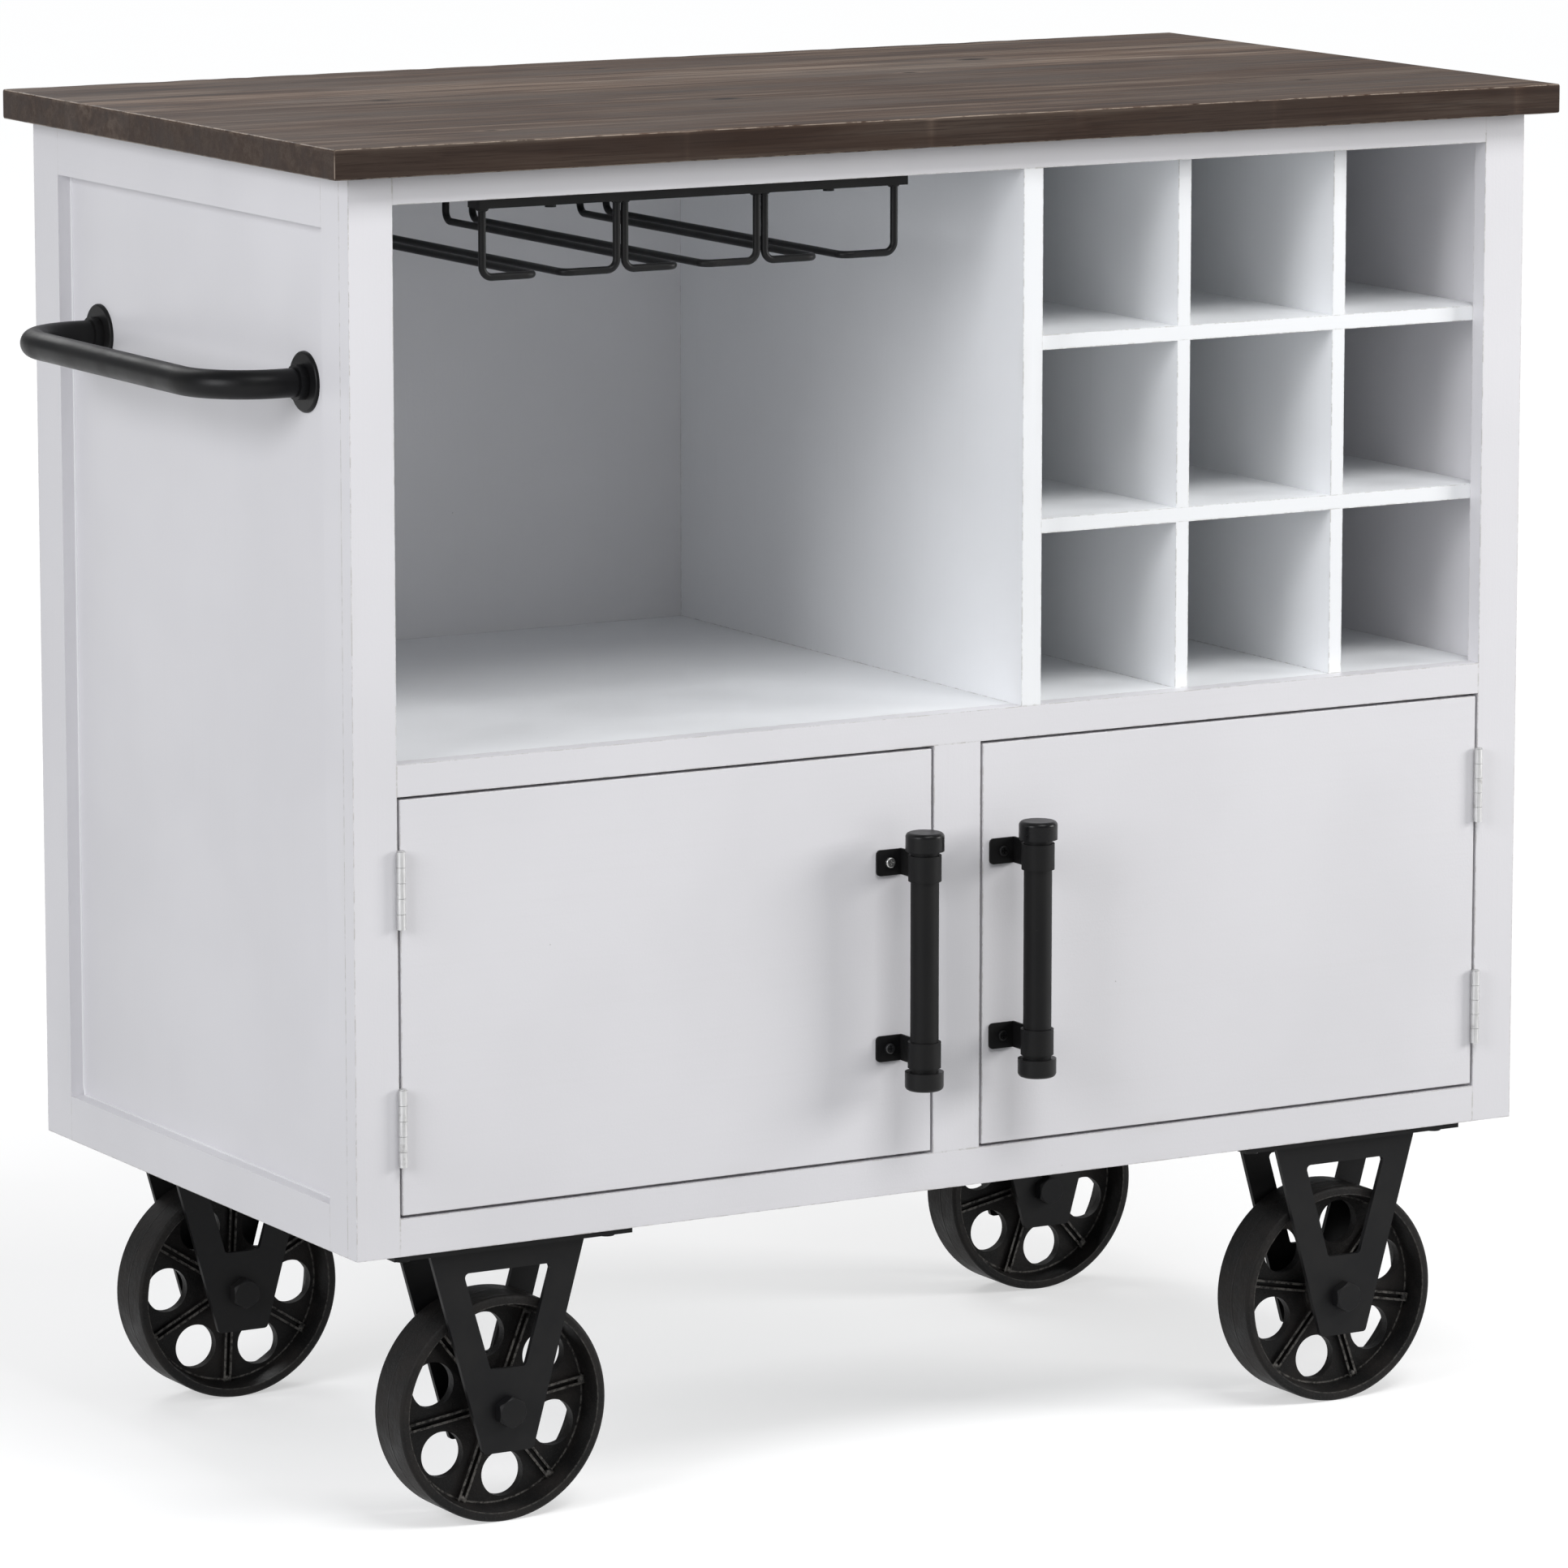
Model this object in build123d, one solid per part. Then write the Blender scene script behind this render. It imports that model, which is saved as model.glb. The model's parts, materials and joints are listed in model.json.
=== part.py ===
"""Bar cart on four iron wheels: a painted cabinet with an open bay, nine bottle cubbies and two doors.

Millimetres, +Z up. The front faces -Y and the push handle is on the -X side. Everything is laid out
about the middle of the cabinet, with z = 0 on the floor, and each node is moved as it is written, so
that the origin is the middle of the whole cart's footprint.
"""
from build123d import *
from math import cos, radians, sin
import os

# ---- driving dimensions: the whole cart ----
cart_height = 914.0          # floor to the top of the worktop
cabinet_width = 903.0
cabinet_depth = 468.5
caster_height = 192.0        # floor to the underside of the cabinet

# worktop
top_thick = 20.0
top_overhang_front = 17.0
top_overhang_rear = 10.0
top_overhang_side = 18.0
top_arris = 1.2              # softened edges of the worktop

# carcass boards
side_panel_thick = 12.0
side_trim_thick = 10.0       # flat trim boards on the outside of each side panel
side_trim_width = 38.0       # as seen from the side, face frame included
side_trim_rail_top = 35.0
side_trim_rail_bottom = 31.0
top_panel_thick = 19.0
mid_shelf_thick = 15.0
bottom_panel_thick = 15.0
back_panel_thick = 3.5
bay_floor_z = 515.0          # height of the open bay's floor
divider_thick = 15.0
divider_x = 57.5             # middle of the board between the bay and the cubbies

# face frame
face_thick = 13.0
face_stile_width = 31.5
face_centre_width = 36.0
face_top_rail_height = 19.0
face_mid_rail_height = 21.0
face_bottom_rail_height = 25.0

# bottle cubbies
cubby_board_thick = 10.0
cubby_columns = 3
cubby_rows = 3

# doors
door_thick = 15.0
door_arris = 0.6

# butt hinges
hinge_length = 50.8
hinge_inset = 33.0           # from the door's top or bottom edge to the near end of a hinge
right_hinge_drop = 3.5       # the right-hand pair sits this much lower
leaf_thick = 0.9
leaf_air = 0.2               # between the two leaves of a closed hinge
leaf_width = 12.0
leaf_screw_dia = 3.0
leaf_screw_length = 11.0
leaf_screw_pitch = 30.0
knuckle_dia = 6.0
knuckle_count = 5
knuckle_end_gap = 0.2        # along the pin, between one knuckle and the next
leaf_face_gap = 0.3          # from the face of the cabinet back to the flat of a leaf
pin_dia = 2.6
pin_clearance = 0.05         # radial, in the turning knuckles
pin_head_dia = 5.0
pin_head_thick = 0.6

# door pulls
pull_pipe_dia = 19.0
pull_pipe_wall = 2.0
pull_pipe_length = 167.0
pull_standoff = 30.0         # door face to the middle of the pipe
pull_edge_left = 23.0        # pipe middle in from the left door's free edge
pull_edge_right = 25.0       # pipe middle in from the right door's free edge
pull_cap_wall = 3.5
pull_cap_height = 12.5
pull_cap_end = 3.5           # solid end of a cap beyond the pipe
pull_cap_round = 3.0
clamp_pitch = 126.0
clamp_height = 17.5
clamp_strap = 1.6
clamp_tab_length = 20.0
clamp_tab_corner = 3.0
clamp_screw_offset = 10.0    # screw in from the pipe's plane
clamp_screw_dia = 3.6
clamp_screw_length = 12.0
clamp_screw_head_dia = 7.0
clamp_screw_head_thick = 2.0
clamp_screw_head_round = 0.9
cross_slot_length = 4.2
cross_slot_width = 0.9
cross_slot_depth = 1.1

# magnetic catches
catch_width = 40.0
catch_depth = 14.0
catch_height = 16.0
catch_corner = 2.0
catch_gap = 0.3
catch_edge = 60.0            # catch middle in from the door's free edge
strike_width = 30.0
strike_height = 11.0
strike_thick = 1.2
strike_top_inset = 1.5

# glass rack
rack_channels = 3
rack_channel_width = 98.5    # between the drop wires of one channel, middle to middle
rack_pair_pitch = 5.9        # between the drop wires of neighbouring channels
rack_wire_dia = 5.0
rack_bend = 7.0
rack_drop = 53.0             # from the bay's ceiling to the middle of the lower wires
rack_foot = 39.0
rack_run = 323.0
rack_front_inset = 26.0      # cabinet face to the middle of the front drops
rack_inset_left = 109.5      # cabinet's left side to the first drop wire
rack_bar_width = 16.0
rack_bar_thick = 8.0
rack_bar_end = 6.0
rack_screw_dia = 4.0
rack_screw_length = 20.0
rack_screw_head_dia = 7.5
rack_screw_head_thick = 2.0
rack_screw_inset = 50.0

# push handle
handle_dia = 19.0
handle_pitch = 306.0         # between the two flanges
handle_reach = 66.0          # side panel to the middle of the bar
handle_bend = 46.0
handle_z = 755.0
handle_flange_dia = 40.0
handle_flange_thick = 2.5
handle_flange_round = 1.5
handle_collar_wall = 2.0
handle_collar_height = 6.0
handle_bolt_dia = 6.0
handle_bolt_length = 26.0
handle_bolt_head_dia = 13.0
handle_bolt_head_thick = 3.5

# casters
caster_inset_left = 117.0
caster_inset_right = 128.5
caster_inset_y = 38.5
plate_length = 176.0
plate_width = 70.0
plate_thick = 4.0
plate_hole_dia = 6.0
plate_hole_inset_x = 12.0
plate_hole_inset_y = 14.0
plate_screw_length = 13.0
plate_screw_head_dia = 11.0
plate_screw_head_thick = 3.0
fork_thick = 3.5
fork_top_width = 115.0
fork_bottom_width = 37.0
fork_below_axle = 27.5
fork_corner = 3.0
window_top_drop = 16.0       # below the mounting plate
window_bottom_rise = 29.0    # above the axle
window_top_width = 65.0
window_bottom_width = 26.0
window_corner = 3.0

# wheels
wheel_dia = 152.4
wheel_width = 39.0
wheel_lip_dia = 140.0         # inside of the rim at its open edge
wheel_web_dia = 135.0         # inside of the rim where it meets the web
wheel_web_thick = 7.0
wheel_tread_round = 2.5
wheel_hub_dia = 34.0
wheel_hub_flare = 2.5        # radial, from the hub's face down to the web
wheel_side_gap = 2.5         # rim face to fork plate
wheel_hub_gap = 0.5          # hub face to fork plate
wheel_holes = 6
wheel_turns = {"front_left": 8.0, "front_right": -11.0, "rear_left": 27.0, "rear_right": 11.0}
wheel_hole_dia = 31.0
wheel_hole_circle = 96.0
wheel_rib_width = 1.6
wheel_rib_gap = 2.8          # between the two ribs of a pair
wheel_rib_height = 3.0
axle_dia = 12.0
axle_sleeve_wall = 2.0
axle_clearance = 0.05        # radial, wheel on sleeve
axle_head_flats = 19.0
axle_head_corners = 21.3      # across the corners, where they are turned off
axle_head_chamfer = 1.6
axle_head_thick = 7.5
axle_nut_thick = 10.0
axle_thread_past_nut = 2.0

# ---- places worked out from the dimensions ----
door_gap = 2 * leaf_thick + leaf_air        # all round each inset door
pull_cap_dia = pull_pipe_dia + 2 * pull_cap_wall
handle_collar_dia = handle_dia + 2 * handle_collar_wall
fork_gap = wheel_width + 2 * wheel_side_gap
axle_sleeve_dia = axle_dia + 2 * axle_sleeve_wall
cabinet_top_z = cart_height - top_thick
left_x = -cabinet_width / 2
right_x = cabinet_width / 2
front_y = -cabinet_depth / 2
rear_y = cabinet_depth / 2
side_thick = side_panel_thick + side_trim_thick
inner_left_x = left_x + side_thick
inner_right_x = right_x - side_thick
inner_front_y = front_y + face_thick
inner_rear_y = rear_y - back_panel_thick
ceiling_z = cabinet_top_z - top_panel_thick
mid_rail_bottom_z = bay_floor_z - face_mid_rail_height
door_bottom_rail_z = caster_height + face_bottom_rail_height
frame_inner_left_x = left_x + face_stile_width
frame_inner_right_x = right_x - face_stile_width
divider_left_x = divider_x - divider_thick / 2
divider_right_x = divider_x + divider_thick / 2
door_bottom_z = door_bottom_rail_z + door_gap
door_top_z = mid_rail_bottom_z - door_gap
door_middle_z = (door_bottom_z + door_top_z) / 2
wheel_radius = wheel_dia / 2
hinge_axis_y = front_y - knuckle_dia / 2
pull_front = pull_standoff + pull_cap_dia / 2
handle_out = handle_reach - side_trim_thick + handle_dia / 2

# the origin is the middle of the whole cart's footprint
footprint_left = left_x - max(handle_out, top_overhang_side)
footprint_right = right_x + top_overhang_side
footprint_front = front_y - max(pull_front, top_overhang_front)
footprint_rear = rear_y + top_overhang_rear
to_origin = Pos(
    -(footprint_left + footprint_right) / 2,
    -(footprint_front + footprint_rear) / 2,
    0,
)


def write(name, *solids):
    """Write one node: its separate solids, moved so that the origin is under the cart's middle."""
    moved = [to_origin * solid for solid in solids]
    shape = moved[0] if len(moved) == 1 else Compound(children=moved)
    export_step(shape, f"parts/{name}.step")


def block(x0, x1, y0, y1, z0, z1):
    """A box between two corners."""
    size = Box(x1 - x0, y1 - y0, z1 - z0, align=(Align.MIN, Align.MIN, Align.MIN))
    return Pos(x0, y0, z0) * size


def rod_z(dia, x, y, z0, z1):
    """An upright cylinder from z0 to z1."""
    bottom = (Align.CENTER, Align.CENTER, Align.MIN)
    return Pos(x, y, z0) * Cylinder(dia / 2, z1 - z0, align=bottom)


def rod_x(dia, y, z, x0, x1):
    """A cylinder along X from x0 to x1, whichever is lower."""
    low, high = min(x0, x1), max(x0, x1)
    return Pos(low, y, z) * Rot(0, 90, 0) * rod_z(dia, 0, 0, 0, high - low)


def rod_y(dia, x, z, y0, y1):
    """A cylinder along Y from y0 to y1, whichever is lower."""
    low, high = min(y0, y1), max(y0, y1)
    return Pos(x, low, z) * Rot(-90, 0, 0) * rod_z(dia, 0, 0, 0, high - low)


def hexagon_y(flats, x, z, y0, y1):
    """A hexagonal bar along Y, with a flat on top."""
    profile = RegularPolygon(flats / 2, 6, major_radius=False, rotation=30)
    return Pos(x, y1, z) * Rot(90, 0, 0) * extrude(profile, y1 - y0)


# ---- worktop ----
def worktop():
    slab = block(
        left_x - top_overhang_side, right_x + top_overhang_side,
        front_y - top_overhang_front, rear_y + top_overhang_rear,
        cabinet_top_z, cart_height,
    )
    return fillet(slab.edges(), top_arris)


# ---- cabinet boards ----
flange_centres = [(y, handle_z) for y in (-handle_pitch / 2, handle_pitch / 2)]


def side_panel(side):
    """The board of one side, behind the face frame and in front of the back panel."""
    outer = side * (cabinet_width / 2 - side_trim_thick)
    inner = outer - side * side_panel_thick
    low, high = min(outer, inner), max(outer, inner)
    board = block(low, high, inner_front_y, inner_rear_y, caster_height, cabinet_top_z)
    if side < 0:
        for y, z in flange_centres:
            board -= rod_x(handle_bolt_dia, y, z, low, high)
    return board


def side_trim(side):
    """The flat trim of one side: two upright boards, and two rails between them."""
    outer = side * cabinet_width / 2
    inner = outer - side * side_trim_thick
    low, high = min(outer, inner), max(outer, inner)
    front_edge = front_y + side_trim_width
    rear_edge = rear_y - side_trim_width
    stiles = [
        block(low, high, inner_front_y, front_edge, caster_height, cabinet_top_z),
        block(low, high, rear_edge, rear_y, caster_height, cabinet_top_z),
    ]
    rails = [
        block(low, high, front_edge, rear_edge, caster_height, caster_height + side_trim_rail_bottom),
        block(low, high, front_edge, rear_edge, cabinet_top_z - side_trim_rail_top, cabinet_top_z),
    ]
    return stiles, rails


def top_panel():
    board = block(inner_left_x, inner_right_x, inner_front_y, inner_rear_y, ceiling_z, cabinet_top_z)
    for x, y in rack_screw_places:
        board -= rod_z(rack_screw_dia, x, y, ceiling_z, ceiling_z + rack_screw_length - rack_bar_thick)
    return board


def mid_shelf():
    return block(
        inner_left_x, inner_right_x, inner_front_y, inner_rear_y,
        bay_floor_z - mid_shelf_thick, bay_floor_z,
    )


def bottom_panel():
    board = block(
        inner_left_x, inner_right_x, inner_front_y, inner_rear_y,
        caster_height, caster_height + bottom_panel_thick,
    )
    return cut_caster_holes(board)


def back_panel():
    trim_inner_left = left_x + side_trim_thick
    trim_inner_right = right_x - side_trim_thick
    return block(trim_inner_left, trim_inner_right, inner_rear_y, rear_y, caster_height, cabinet_top_z)


def bay_divider():
    return block(divider_left_x, divider_right_x, front_y, inner_rear_y, bay_floor_z, ceiling_z)


# ---- face frame ----
def face_stile(side):
    outer = side * cabinet_width / 2
    inner = outer - side * face_stile_width
    board = block(
        min(outer, inner), max(outer, inner), front_y, inner_front_y, caster_height, cabinet_top_z,
    )
    for z in hinge_middles(side):
        for screw_z in leaf_screw_heights(z):
            board -= rod_x(leaf_screw_dia, leaf_screw_y, screw_z, inner, inner + side * leaf_screw_length)
    return board


def face_rail(bottom_z, height):
    return block(
        frame_inner_left_x, frame_inner_right_x, front_y, inner_front_y, bottom_z, bottom_z + height,
    )


def face_centre_stile():
    half = face_centre_width / 2
    return block(-half, half, front_y, inner_front_y, door_bottom_rail_z, mid_rail_bottom_z)


# ---- bottle cubbies: two shelves and two uprights, halved into each other ----
cubby_width = inner_right_x - divider_right_x
cubby_height = ceiling_z - bay_floor_z
cell_width = (cubby_width - (cubby_columns - 1) * cubby_board_thick) / cubby_columns
cell_height = (cubby_height - (cubby_rows - 1) * cubby_board_thick) / cubby_rows
cubby_half_y = (inner_front_y + inner_rear_y) / 2
upright_lefts = [
    divider_right_x + (i + 1) * cell_width + i * cubby_board_thick for i in range(cubby_columns - 1)
]
shelf_bottoms = [bay_floor_z + (i + 1) * cell_height + i * cubby_board_thick for i in range(cubby_rows - 1)]


def cubby_shelf(bottom_z):
    top_z = bottom_z + cubby_board_thick
    board = block(divider_right_x, inner_right_x, inner_front_y, inner_rear_y, bottom_z, top_z)
    for x in upright_lefts:
        board -= block(x, x + cubby_board_thick, cubby_half_y, inner_rear_y, bottom_z, top_z)
    return board


def cubby_upright(x):
    right = x + cubby_board_thick
    board = block(x, right, inner_front_y, inner_rear_y, bay_floor_z, ceiling_z)
    for z in shelf_bottoms:
        board -= block(x, right, inner_front_y, cubby_half_y, z, z + cubby_board_thick)
    return board


# ---- glass rack: two flat bars under the ceiling and six bent wires ----
rack_left_x = left_x + rack_inset_left
rack_front_y = front_y + rack_front_inset
rack_rear_y = rack_front_y + rack_run
rack_bar_z = ceiling_z - rack_bar_thick
rack_wire_z = ceiling_z - rack_drop
rack_width = rack_channels * rack_channel_width + (rack_channels - 1) * rack_pair_pitch
rack_screw_places = [
    (x, y)
    for x in (rack_left_x + rack_screw_inset, rack_left_x + rack_width - rack_screw_inset)
    for y in (rack_front_y, rack_rear_y)
]


def rack_bar(y):
    bar = block(
        rack_left_x - rack_bar_end, rack_left_x + rack_width + rack_bar_end,
        y - rack_bar_width / 2, y + rack_bar_width / 2, rack_bar_z, ceiling_z,
    )
    for x, screw_y in rack_screw_places:
        if screw_y == y:
            bar -= rod_z(rack_screw_dia, x, y, rack_bar_z, ceiling_z)
    return bar


def rack_wire(x, inward):
    """Down at the front, a foot inwards, back along the channel, and up at the rear."""
    foot_x = x + inward * rack_foot
    path = FilletPolyline(
        (x, rack_front_y, rack_bar_z),
        (x, rack_front_y, rack_wire_z),
        (foot_x, rack_front_y, rack_wire_z),
        (foot_x, rack_rear_y, rack_wire_z),
        (foot_x, rack_rear_y, rack_bar_z),
        radius=rack_bend,
    )
    section = Plane(origin=(x, rack_front_y, rack_bar_z), z_dir=(0, 0, -1)) * Circle(rack_wire_dia / 2)
    return sweep(section, path=path)


def rack_wires():
    wires = []
    for channel in range(rack_channels):
        x = rack_left_x + channel * (rack_channel_width + rack_pair_pitch)
        wires.append(rack_wire(x, 1))
        wires.append(rack_wire(x + rack_channel_width, -1))
    return wires


def rack_screw(x, y):
    head = rod_z(rack_screw_head_dia, x, y, rack_bar_z - rack_screw_head_thick, rack_bar_z)
    shank = rod_z(rack_screw_dia, x, y, rack_bar_z, rack_bar_z + rack_screw_length)
    return head + shank


# ---- push handle on the left side ----
handle_panel_x = left_x + side_trim_thick
handle_bar_x = handle_panel_x - handle_reach
handle_seat_x = handle_panel_x - handle_flange_thick


def push_handle_bar():
    front_end, rear_end = -handle_pitch / 2, handle_pitch / 2
    path = FilletPolyline(
        (handle_seat_x, front_end, handle_z),
        (handle_bar_x, front_end, handle_z),
        (handle_bar_x, rear_end, handle_z),
        (handle_seat_x, rear_end, handle_z),
        radius=handle_bend,
    )
    section = Plane(origin=(handle_seat_x, front_end, handle_z), z_dir=(-1, 0, 0)) * Circle(handle_dia / 2)
    bar = sweep(section, path=path)
    for y, z in flange_centres:
        bar -= rod_x(handle_bolt_dia, y, z, handle_seat_x, handle_bolt_tip_x)
    return bar


handle_bolt_tip_x = handle_panel_x + side_panel_thick - handle_bolt_length


def push_handle_flange(y, z):
    """A thin round rose with a short collar round the bar."""
    rose = rod_x(handle_flange_dia, y, z, handle_seat_x, handle_panel_x)
    outer_edge = rose.edges().filter_by(GeomType.CIRCLE).sort_by(Axis.X)[0]
    rose = fillet(outer_edge, handle_flange_round)
    collar = rod_x(handle_collar_dia, y, z, handle_seat_x - handle_collar_height, handle_seat_x)
    collar -= rod_x(handle_dia, y, z, handle_seat_x - handle_collar_height, handle_seat_x)
    flange = rose + collar
    return flange - rod_x(handle_bolt_dia, y, z, handle_seat_x, handle_panel_x)


def push_handle_bolt(y, z):
    """A bolt from inside the cabinet, through the side panel and into the end of the bar."""
    inner_x = handle_panel_x + side_panel_thick
    head = rod_x(handle_bolt_head_dia, y, z, inner_x, inner_x + handle_bolt_head_thick)
    return head + rod_x(handle_bolt_dia, y, z, handle_bolt_tip_x, inner_x)


# ---- hinges ----
leaf_screw_y = front_y + leaf_width / 2 + leaf_face_gap


def hinge_middles(side):
    drop = right_hinge_drop if side > 0 else 0.0
    half = hinge_length / 2
    return [door_bottom_z + hinge_inset + half - drop, door_top_z - hinge_inset - half - drop]


def leaf_screw_heights(middle_z):
    return [middle_z - leaf_screw_pitch / 2, middle_z + leaf_screw_pitch / 2]


def hinge_axis_x(side):
    return side * (cabinet_width / 2 - face_stile_width - door_gap / 2)


def hinge_leaf(side, middle_z, on_door):
    """One leaf: a flat plate on the edge of the door or stile, with its own knuckles round the pin."""
    axis_x = hinge_axis_x(side)
    seat_x = axis_x + (-side if on_door else side) * door_gap / 2
    free_x = seat_x + (side if on_door else -side) * leaf_thick
    low, high = min(seat_x, free_x), max(seat_x, free_x)
    bottom_z = middle_z - hinge_length / 2
    plate_y = front_y + leaf_face_gap
    leaf = block(low, high, plate_y, front_y + leaf_width, bottom_z, bottom_z + hinge_length)
    pitch = hinge_length / knuckle_count
    for i in range(knuckle_count):
        if (i % 2 == 0) != on_door:
            continue
        z0 = bottom_z + i * pitch + (knuckle_end_gap / 2 if i else 0)
        z1 = bottom_z + (i + 1) * pitch - (knuckle_end_gap / 2 if i < knuckle_count - 1 else 0)
        leaf += rod_z(knuckle_dia, axis_x, hinge_axis_y, z0, z1)
        leaf += block(low, high, hinge_axis_y, plate_y, z0, z1)
    bore = pin_dia + (2 * pin_clearance if on_door else 0)
    leaf -= rod_z(bore, axis_x, hinge_axis_y, bottom_z, bottom_z + hinge_length)
    for z in leaf_screw_heights(middle_z):
        leaf -= rod_x(leaf_screw_dia, leaf_screw_y, z, low, high)
    return leaf


def leaf_screws(side, middle_z, into_door):
    """Two countersunk screws through one leaf, finished flush with it."""
    axis_x = hinge_axis_x(side)
    away = -side if into_door else side
    seat_x = axis_x + away * door_gap / 2
    start_x = seat_x - away * leaf_thick
    end_x = seat_x + away * leaf_screw_length
    return [rod_x(leaf_screw_dia, leaf_screw_y, z, start_x, end_x) for z in leaf_screw_heights(middle_z)]


def hinge_pin(side, middle_z):
    axis_x = hinge_axis_x(side)
    bottom_z = middle_z - hinge_length / 2
    top_z = bottom_z + hinge_length
    head_z = top_z + knuckle_end_gap / 2
    head = rod_z(pin_head_dia, axis_x, hinge_axis_y, head_z, head_z + pin_head_thick)
    return head + rod_z(pin_dia, axis_x, hinge_axis_y, bottom_z, head_z)


# ---- doors ----
def door_span(side):
    """The door's two edges in x: hinge edge first, free edge second."""
    hinge_edge = side * (cabinet_width / 2 - face_stile_width - door_gap)
    free_edge = side * (face_centre_width / 2 + door_gap)
    return hinge_edge, free_edge


def pull_x(side):
    _, free_edge = door_span(side)
    return free_edge + side * (pull_edge_right if side > 0 else pull_edge_left)


clamp_heights = [door_middle_z - clamp_pitch / 2, door_middle_z + clamp_pitch / 2]
pull_y = front_y - pull_standoff


def door(side):
    hinge_edge, free_edge = door_span(side)
    low, high = min(hinge_edge, free_edge), max(hinge_edge, free_edge)
    slab = block(low, high, front_y, front_y + door_thick, door_bottom_z, door_top_z)
    slab = fillet(slab.edges(), door_arris)
    for z in clamp_heights:
        hole_end = front_y + clamp_screw_length - clamp_strap
        slab -= rod_y(clamp_screw_dia, pull_x(side) - clamp_screw_offset, z, front_y, hole_end)
    for middle_z in hinge_middles(side):
        for screw in leaf_screws(side, middle_z, True):
            slab -= screw
    return slab


def pull_pipe(side):
    bottom_z = door_middle_z - pull_pipe_length / 2
    pipe = rod_z(pull_pipe_dia, pull_x(side), pull_y, bottom_z, bottom_z + pull_pipe_length)
    bore_dia = pull_pipe_dia - 2 * pull_pipe_wall
    return pipe - rod_z(bore_dia, pull_x(side), pull_y, bottom_z, bottom_z + pull_pipe_length)


def pull_cap(side, up):
    """A round cap pressed over one end of the pipe."""
    pipe_end = door_middle_z + up * pull_pipe_length / 2
    outer_z = pipe_end + up * pull_cap_end
    inner_z = outer_z - up * pull_cap_height
    cap = rod_z(pull_cap_dia, pull_x(side), pull_y, min(outer_z, inner_z), max(outer_z, inner_z))
    rims = cap.edges().filter_by(GeomType.CIRCLE).sort_by(Axis.Z)
    cap = fillet(rims[-1] if up > 0 else rims[0], pull_cap_round)
    return cap - rod_z(pull_pipe_dia, pull_x(side), pull_y, min(inner_z, pipe_end), max(inner_z, pipe_end))


def pull_clamp(side, middle_z):
    """A strap round the pipe, a leg back to the door, and a tab turned along the door's face."""
    x = pull_x(side)
    z0, z1 = middle_z - clamp_height / 2, middle_z + clamp_height / 2
    strap = rod_z(pull_pipe_dia + 2 * clamp_strap, x, pull_y, z0, z1)
    leg = block(x - clamp_strap, x, pull_y, front_y, z0, z1)
    tab = block(x - clamp_tab_length, x, front_y - clamp_strap, front_y, z0, z1)
    outer_corners = tab.edges().filter_by(Axis.Y).group_by(Axis.X)[0]
    tab = fillet(outer_corners, clamp_tab_corner)
    clamp = strap + leg + tab
    clamp -= rod_z(pull_pipe_dia, x, pull_y, z0, z1)
    return clamp - rod_y(clamp_screw_dia, x - clamp_screw_offset, middle_z, front_y - clamp_strap, front_y)


def clamp_screw(side, middle_z):
    """A pan-head screw with a cross recess."""
    x = pull_x(side) - clamp_screw_offset
    seat_y = front_y - clamp_strap
    top_y = seat_y - clamp_screw_head_thick
    head = rod_y(clamp_screw_head_dia, x, middle_z, top_y, seat_y)
    outer_rim = head.edges().filter_by(GeomType.CIRCLE).sort_by(Axis.Y)[0]
    head = fillet(outer_rim, clamp_screw_head_round)
    half, wide = cross_slot_length / 2, cross_slot_width / 2
    head -= block(x - half, x + half, top_y, top_y + cross_slot_depth, middle_z - wide, middle_z + wide)
    head -= block(x - wide, x + wide, top_y, top_y + cross_slot_depth, middle_z - half, middle_z + half)
    return head + rod_y(clamp_screw_dia, x, middle_z, seat_y, seat_y + clamp_screw_length)


def catch_x(side):
    _, free_edge = door_span(side)
    return free_edge + side * catch_edge


def strike(side):
    back_y = front_y + door_thick
    top_z = door_top_z - strike_top_inset
    half = strike_width / 2
    return block(
        catch_x(side) - half, catch_x(side) + half, back_y, back_y + strike_thick,
        top_z - strike_height, top_z,
    )


def magnetic_catch(side):
    """A magnet block under the middle shelf, just behind the closed door's strike."""
    near_y = front_y + door_thick + strike_thick + catch_gap
    shelf_z = bay_floor_z - mid_shelf_thick
    half = catch_width / 2
    body = block(
        catch_x(side) - half, catch_x(side) + half, near_y, near_y + catch_depth,
        shelf_z - catch_height, shelf_z,
    )
    return fillet(body.edges().filter_by(Axis.Y), catch_corner)


# ---- casters ----
caster_places = {
    "front_left": (left_x + caster_inset_left, front_y + caster_inset_y),
    "front_right": (right_x - caster_inset_right, front_y + caster_inset_y),
    "rear_left": (left_x + caster_inset_left, rear_y - caster_inset_y),
    "rear_right": (right_x - caster_inset_right, rear_y - caster_inset_y),
}


def plate_holes(x, y):
    dx = plate_length / 2 - plate_hole_inset_x
    dy = plate_width / 2 - plate_hole_inset_y
    return [(x + sx * dx, y + sy * dy) for sx in (-1, 1) for sy in (-1, 1)]


def cut_caster_holes(board):
    """Screw holes up into a board that the caster plates sit under."""
    depth = plate_screw_length - plate_thick
    for x, y in caster_places.values():
        for hx, hy in plate_holes(x, y):
            board -= rod_z(plate_hole_dia, hx, hy, caster_height, caster_height + depth)
    return board


def taper(top_z, bottom_z, top_width, bottom_width):
    """A trapezium that narrows downwards, corners anticlockwise."""
    return Polygon(
        (top_width / 2, top_z), (-top_width / 2, top_z),
        (-bottom_width / 2, bottom_z), (bottom_width / 2, bottom_z),
        align=None,
    )


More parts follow.
